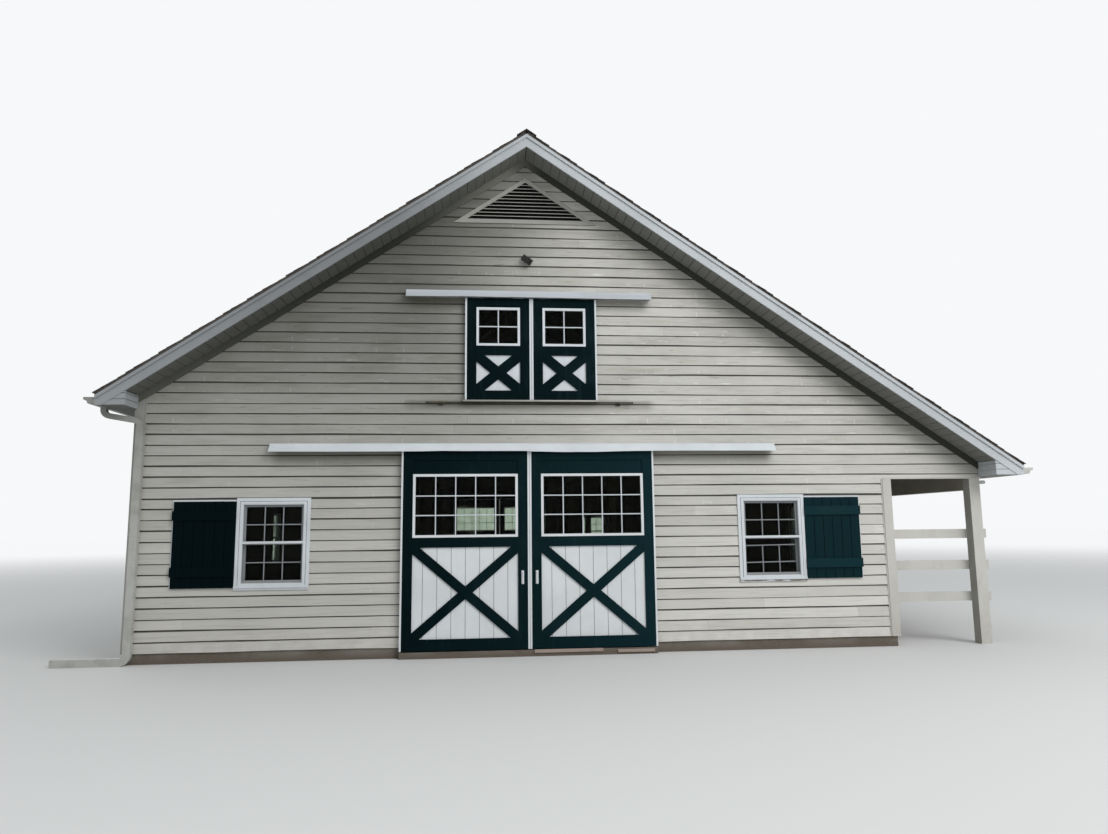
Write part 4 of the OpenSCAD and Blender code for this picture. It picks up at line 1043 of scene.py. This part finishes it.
def rake_panels():
    """Ribbed panels on the underside of the rakes."""
    high = span("rake_soffits")[1]
    wide = Vector((0, (high.y - half_l) / 2, 0))
    pile = Pile()
    step = SOFFIT_PANEL / 2
    for sign in (-1, 1):
        middle = sign * (half_l + high.y) / 2
        for side, limit in ((-1, half_w), (1, porch_x)):
            down = Vector((side * math.cos(pitch), 0, -math.sin(pitch)))
            normal = Vector((side * math.sin(pitch), 0, math.cos(pitch)))
            start = Vector((0, middle, ridge_z - fascia_depth)) + normal * PANEL_T / 2
            length = limit / math.cos(pitch)
            for i in range(math.ceil(length / step)):
                gap = SOFFIT_GAP if i % 2 == 0 else SOFFIT_GAP * 0.5
                a = start + down * (i * step + gap / 2)
                b = start + down * min(length, (i + 1) * step - gap / 2)
                pile.bar(a, b, wide, normal * PANEL_T / 2)
    panels = pile.make("rake_soffit_panels", "white_trim", soffit_shaded)
    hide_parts("rake_soffits")


def eave_panels():
    """Ribbed panels under the eaves."""
    pile = Pile()
    step = SOFFIT_PANEL / 2
    for low, high in solids("eave_soffits"):
        for i in range(math.ceil((high.y - low.y) / step)):
            gap = SOFFIT_GAP if i % 2 == 0 else SOFFIT_GAP * 0.5
            y1 = min(high.y, low.y + (i + 1) * step - gap / 2)
            pile.box((low.x, low.y + i * step + gap / 2, low.z), (high.x, y1, high.z))
    panels = pile.make("eave_soffit_panels", "white_trim", soffit_shaded)
    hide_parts("eave_soffits")


def rake_drips():
    """A narrow strip along the top of each rake board."""
    pile = Pile()
    out = fascia_high.y
    lip = DRIP_OUT - 0.004
    outline = ((-0.002, 0.0), (DRIP_OUT, 0.0), (DRIP_OUT, -DRIP_H), (lip, -DRIP_H),
               (lip, 0.012 - DRIP_H), (-0.002, 0.012 - DRIP_H))
    for sign in (-1, 1):
        for tip in (fascia_low.x, fascia_high.x):
            rings = [[Vector((x, sign * (out + n), roof_z(x) + v)) for n, v in outline] for x in (0.0, tip)]
            pile.tube(rings)
    pile.make("rake_drip_strips", "white_trim", rake_white)


def return_boards():
    """Narrow boards on the front and the inner side of each boxed return."""
    pile = Pile()
    for low, high in solids("eave_returns"):
        side, sign = signs(low)
        wall_x, tip_x = sorted((abs(low.x), abs(high.x)))
        outer = max(abs(low.y), abs(high.y))
        foot = low.z - RETURN_LIP
        outline = [(wall_x, foot), (tip_x + RETURN_REACH, foot), (wall_x, high.z + 0.001)]

        def place(u, v, n):
            return Vector((side * u, sign * (outer + n), v))

        z = foot
        while z < high.z:
            z0, z1 = z + RETURN_SEAM / 2, z + RETURN_BOARD - RETURN_SEAM / 2
            strip = clip(outline, (wall_x - RETURN_LIP, z0), (tip_x + RETURN_REACH, z1))
            if len(strip) > 2 and z + 0.01 < high.z:
                pile.prism(strip, place, RETURN_OUT)
            top = min(high.z - RETURN_SEAM / 2, z1)
            pile.box(place(wall_x - RETURN_LIP, z0, RETURN_OUT), place(wall_x, top, half_l - outer))
            z += RETURN_BOARD
    pile.make("return_boards", "white_trim", rake_white)


def corner_strips():
    """A pale edge strip where the siding meets each corner board."""
    pile = Pile()
    for low, high in solids("corner_boards"):
        side, sign = signs(low)
        top = min(high.z, ridge_z - frieze_depth - slope * corner_x)
        inner = (side * (corner_x - STRIP_W), sign * (half_l + STRIP_OUT), top)
        pile.box((side * (corner_x - 0.001), sign * half_l, low.z), inner)
    # The apron over the porch ends in a strip along its foot and its outer edge
    for place in (front, back):
        pile.box(place(corner_x + 0.02, apron_z - 0.001, 0.0), place(porch_x, apron_z + STRIP_W, STRIP_OUT))
        top = place(porch_x + 0.012, roof_z(porch_x) - frieze_depth, STRIP_OUT)
        pile.box(place(porch_x, apron_z, -WALL_T), top)
    pile.make("siding_edge_strips", "cream_trim")


# Doorways and their hoods

def hoods():
    """Sheet covers over the door tracks, in lapped lengths that sag a little."""
    rng = random.Random(SEED + 40)
    piles = {False: Pile(), True: Pile()}
    for low, high in solids("track_covers"):
        pile = piles[low.z > loft_z]
        sign = 1 if high.y > 0 else -1
        place = front if sign < 0 else back
        out = max(abs(low.y), abs(high.y)) - half_l - 0.002
        top = high.z
        foot = low.z
        sags = sign < 0 and low.z < loft_z

        def sag(u):
            return HOOD_SAG * math.exp(-((u - axis_x - 0.75) / 0.5) ** 2) if sags else 0.0

        pile.box(place(low.x, top - LEDGER_H, 0.0), place(high.x, top - 0.004, HOOD_LEDGER_T), FINE_EASE)
        sections = max(1, round((high.x - low.x) / HOOD_SECTION))
        width = (high.x - low.x) / sections
        for i in range(sections):
            u0 = low.x + i * width - (HOOD_LAP if i else 0)
            u1 = low.x + (i + 1) * width + (HOOD_LAP if i < sections - 1 else 0)
            under = 0.0 if i % 2 == 0 else 0.0025
            lean = rng.uniform(-0.002, 0.002)
            phase = rng.uniform(0, 6.28)
            dent_at = rng.uniform(u0 + 0.4, u1 - 0.4)
            stations = max(4, round((u1 - u0) / HOOD_STATION))
            rings = []
            for k in range(stations + 1):
                u = u0 + (u1 - u0) * k / stations
                sway = 0.0025 * math.sin(2.1 * u + phase) + lean
                dent = 0.006 * math.exp(-((u - dent_at) / 0.16) ** 2)
                n = out - under - 0.004 + sway - dent
                z = foot + 0.003 + 0.0028 * math.sin(1.3 * u + phase) + dent - sag(u)
                shoulder = out / 2
                t = HOOD_SHEET
                rings.append([
                    place(u, top - under, 0.001),
                    place(u, top - under, shoulder),
                    place(u, top - HOOD_BAND, shoulder + 0.002),
                    place(u, z, n),
                    place(u, z, n - HEM),
                    place(u, z + t, n - HEM),
                    place(u, z + t, n - t),
                    place(u, top - HOOD_BAND - t, shoulder - t / 2),
                    place(u, top - under - t, shoulder - t / 2),
                    place(u, top - under - t, 0.001),
                ])
            pile.tube(rings)
        for u0, u1 in ((low.x, low.x + HOOD_SHEET), (high.x - HOOD_SHEET, high.x)):
            outline = (
                (0.0, top), (out / 2, top), (out / 2, top - HOOD_BAND), (out - 0.004, foot + 0.004),
                (0.0, top - LEDGER_H),
            )
            pile.tube([[place(u, v, n) for n, v in outline] for u in (u0, u1)])
    covers = piles[False].make("track_hoods", "white_trim")
    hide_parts("track_covers")
    covers = piles[True].make("loft_track_hoods", "white_trim", loft_hood_white)
    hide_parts("track_covers")


def door_jambs():
    """Boards round the doorways, behind the sliding leaves, and a lining in them."""
    pile = Pile()
    floor_z = span("ground_floor")[1].z
    for place in (front, back):
        for side in (-1, 1):
            edge = axis_x + side * door_half
            pile.box(place(edge, siding_foot, 0.0), place(edge + side * JAMB_W, track_z, TRIM_T), FINE_EASE)
            lining = place(edge - side * LINING_T, door_head, -WALL_T)
            pile.box(place(edge, floor_z, TRIM_T), lining, FINE_EASE)
        left_u, right_u = axis_x - door_half, axis_x + door_half
        lining = place(right_u, door_head, -WALL_T)
        pile.box(place(left_u, door_head - LINING_T, TRIM_T), lining, FINE_EASE)
        pile.box(place(left_u, door_head, 0.0), place(right_u, track_z, TRIM_T), FINE_EASE)
    pile.make("doorway_jambs", "white_trim")


# Glazing bars

def bars_for(pile, low, high, slip=0.0, tilt=0.0):
    """A grid of glazing bars on the outer face of one pane."""
    flat, run, sign = lie(low, high)
    size = high[run] - low[run]
    columns, rows = (5, 3) if size > 1.2 else (3, 2) if size > 0.7 else (2, 2)
    glass = max(abs(low[flat]), abs(high[flat]))
    middle = (low + high) / 2
    axes = Matrix.Identity(3)
    deep = axes[flat] * MUNTIN_D / 2

    def at(along, up):
        point = middle.copy()
        point[run] += along
        point[flat] = sign * (glass + MUNTIN_D / 2)
        point.z += up + along * math.sin(tilt) - slip
        return point

    height = high.z - low.z
    for i in range(1, columns):
        along = -size / 2 + size * i / columns
        pile.bar(at(along, -height / 2), at(along, height / 2), axes[run] * MUNTIN / 2, deep, BAR_EASE)
    levels = [-height / 2 + height * i / rows for i in range(1, rows)]
    if slip:
        levels.append(height / 2)
    for up in levels:
        pile.bar(at(-size / 2, up), at(size / 2, up), UP * MUNTIN / 2, deep * 1.04, BAR_EASE)


def glazing_bars():
    """Glazing bars in every window, riding on the sliding leaves where they belong there."""
    fixed = Pile()
    for low, high in solids("window_glass"):
        slipped = low.y < -half_l + 0.2 and low.x > 3 and low.z < 1.5
        bars_for(fixed, low, high, *((SLIP, SLIP_TILT) if slipped else ()))
    fixed.make("glazing_bars", "white_trim", glazing_white)
    for side in ("left", "right"):
        pile = Pile()
        for low, high in solids(side + "_door_glass"):
            bars_for(pile, low, high)
        pile.make(side + "_door_glazing_bars", "white_trim", body=side + "_leaf")


def storm_windows():
    """Storm frames with a bright middle rail in the house windows, set off from the casing by a strip of
    painted shadow, over sash foot rails painted grey as shade.
    """
    pile, shadow_strips, feet = Pile(), Pile(), Pile()
    for low, high in solids("window_frames"):
        flat, run, sign = lie(low, high)
        side = ((left, right), (front, back))[flat][sign > 0]
        a0, a1 = low[run] + CASING_W, high[run] - CASING_W
        z0, z1 = low.z + CASING_W, high.z - CASING_W

        def place(u, v, n):
            return side(u, v, TRIM_T + n)

        def grown(edge):
            return a0 - edge, z0 - edge, a1 + edge, z1 + edge

        w = STORM_EDGE
        pile.rim(place, grown(STORM_LAP), (a0 + w, z0 + w / 2, a1 - w, z1 - w / 2), (-0.016, STORM_OUT))
        rail = (z0 + z1) / 2 + 0.015 - STORM_RAIL / 2
        pile.box(place(a0 + w, rail, -0.016), place(a1 - w, rail + STORM_RAIL, STORM_OUT))
        # A dark strip of painted shadow round each storm frame
        shadow_strips.rim(place, grown(STORM_LAP + STORM_GAP), grown(STORM_LAP), (-0.010, 0.0012), FINE_EASE)
        # Sash foot rails, grey as painted shade
        feet.box(place(a0 + w, z0 + w / 2, -0.030), place(a1 - w, z0 + w / 2 + SASH_FOOT, -0.014))
    pile.make("storm_frames", "white_trim")
    shadow_strips.make("storm_gap_shadows", "white_trim", gap_shadow)
    feet.make("shaded_sash_foot_rails", "white_trim", sash_rail_shade)


def threshold_boards():
    """Two weathered boards along the foot of the right leaf."""
    pile = Pile()
    face = span("door_sills")[0].y
    for x0, x1, z0, z1 in THRESHOLD:
        pile.box((axis_x + x0, face - 0.019, z0), (axis_x + x1, face + 0.001, z1))
    pile.make("threshold_boards", "timber", weathered_board)


def rail_tails():
    """Ends of the porch rails, which run on past the corner post."""
    pile = Pile()
    for low, high in solids("porch_rails"):
        play = Vector((0, 0.0005, 0.0005))
        end = Vector((high.x + RAIL_TAIL, high.y, high.z))
        pile.box(Vector((high.x - 0.02, low.y, low.z)) + play, end - play)
    pile.make("rail_tails", "cream_trim")


def shutter_backs():
    """White backing boards that show as a thin edge round the shutters."""
    pile = Pile()
    for low, high in solids("shutters"):
        side, sign = signs(low)
        inner = min(abs(low.x), abs(high.x))
        outer = inner + SHUTTER_W + SHUTTER_EDGE
        top = (side * outer, sign * (half_l + SHUTTER_BACK_T), high.z + SHUTTER_EDGE + 0.008)
        pile.box((side * inner, sign * half_l, low.z + 0.01), top)
    pile.make("shutter_backings", "white_trim")


# Rainwater goods

def rainwater_details():
    """Straps on the downspouts and hangers in the gutters."""
    pile = Pile()
    for low, high in solids("gutters"):
        count = round((high.y - low.y) / STRAP_SPACING)
        for i in range(count):
            y = low.y + (i + 0.5) * (high.y - low.y) / count
            top = (high.x - 0.002, y + 0.012, high.z - 0.001)
            pile.box((low.x + 0.002, y - 0.012, high.z - 0.006), top, STRAP_EASE)
    for low, high in solids("downspouts"):
        x, last = (0.0825 - half_w, 2.75) if low.x < 0 else (porch_x - 0.085, 2.02)
        for z in (*STRAP_LEVELS, last):
            strap = (x + STRAP_OUT, high.y, z + STRAP_W)
            pile.box((x - STRAP_OUT, low.y - 0.002, z), strap, STRAP_EASE)
    pile.make("gutter_straps", "rainwater")


# Studio

def studio():
    """A pale floor, soft light and the camera of the photograph."""
    mesh = bpy.data.meshes.new("studio_floor")
    corners = ((-1, -1), (1, -1), (1, 1), (-1, 1))
    mesh.from_pydata([(x * FLOOR_REACH, y * FLOOR_REACH, 0) for x, y in corners], [], [(0, 1, 2, 3)])
    paint = Paint("floor_paint", roughness=0.9)
    squares = paint.math("ADD", paint.product(paint.x, paint.x), paint.product(paint.y, paint.y))
    away = paint.math("SQRT", squares)
    paint.set("Emission Color", BACKDROP)
    paint.set("Emission Strength", paint.band(away, *FLOOR_FADE, 0.0, 0.82))
    paint.colour = paint.mix(paint.band(away, *FLOOR_FADE, 0.0, 0.85), FLOOR_TONE, (0.05, 0.05, 0.05))
    paint.lay((0.4, 0.4, 0.4), paint.noise(scale=0.05, detail=2.0), 0.02)
    mesh.materials.append(paint.finish())
    floor = bpy.data.objects.new("studio_floor", mesh)
    bpy.context.scene.collection.objects.link(floor)

    world = bpy.data.worlds.new("studio_sky")
    bpy.context.scene.world = world
    world.use_nodes = True
    world.node_tree.nodes.clear()
    sky = Nodes(world.node_tree)
    ray = sky.add("LightPath").outputs
    seen = sky.math("MAXIMUM", ray["Is Camera Ray"], ray["Is Glossy Ray"])
    seen = sky.math("MAXIMUM", seen, ray["Is Transmission Ray"])
    upwards = sky.add("SeparateXYZ", {0: sky.add("TexCoord").outputs["Generated"]}).outputs[2]
    strength = sky.add("MapRange", {"Value": upwards, "To Min": SKY_LOW, "To Max": SKY_HIGH}).outputs[0]
    lighting = sky.add("Background", {"Color": SKY_TONE, "Strength": strength}).outputs[0]
    shown = sky.add("Background", {"Color": BACKDROP}).outputs[0]
    sky.add("OutputWorld", {"Surface": sky.add("MixShader", {0: seen, 1: lighting, 2: shown}).outputs[0]})

    key = bpy.data.lights.new("key_light", "AREA")
    key.energy = KEY_POWER
    key.size = KEY_SIZE
    fill = bpy.data.lights.new("fill_light", "SUN")
    fill.energy = FILL_STRENGTH
    fill.angle = FILL_ANGLE
    key_way = Vector(KEY_AIM) - Vector(KEY_PLACE)
    for light, place, aim in ((key, KEY_PLACE, key_way), (fill, (0, 0, 20), -Vector(FILL_AIM))):
        lamp = bpy.data.objects.new(light.name, light)
        lamp.location = place
        lamp.rotation_mode = "QUATERNION"
        lamp.rotation_quaternion = aim.to_track_quat("-Z", "Y")
        bpy.context.scene.collection.objects.link(lamp)

    lens = bpy.data.cameras.new("photo_camera")
    lens.sensor_width = SENSOR_WIDTH
    lens.lens = SENSOR_WIDTH * FOCAL_PIXELS / PHOTO_SIZE[0]
    lens.clip_end = 500
    camera = bpy.data.objects.new("photo_camera", lens)
    turn = Matrix.Rotation(CAMERA_YAW, 3, "Z") @ Matrix.Rotation(CAMERA_PITCH, 3, "X")
    turn = turn @ Matrix.Rotation(CAMERA_ROLL, 3, "Y") @ Matrix.Rotation(math.pi / 2, 3, "X")
    camera.matrix_world = Matrix.Translation(CAMERA_PLACE) @ turn.to_4x4()
    bpy.context.scene.collection.objects.link(camera)
    bpy.context.scene.camera = camera
    bpy.context.scene.view_settings.view_transform = "Standard"
    bpy.context.scene.view_settings.look = "None"


dress_frame()
end_siding()
side_siding()
roof_slope("roof_left", -1, left_edge)
roof_slope("roof_right", 1, right_edge)
ridge_caps()
rake_panels()
eave_panels()
rake_drips()
return_boards()
corner_strips()
hoods()
door_jambs()
glazing_bars()
storm_windows()
rail_tails()
threshold_boards()
shutter_backs()
rainwater_details()
studio()
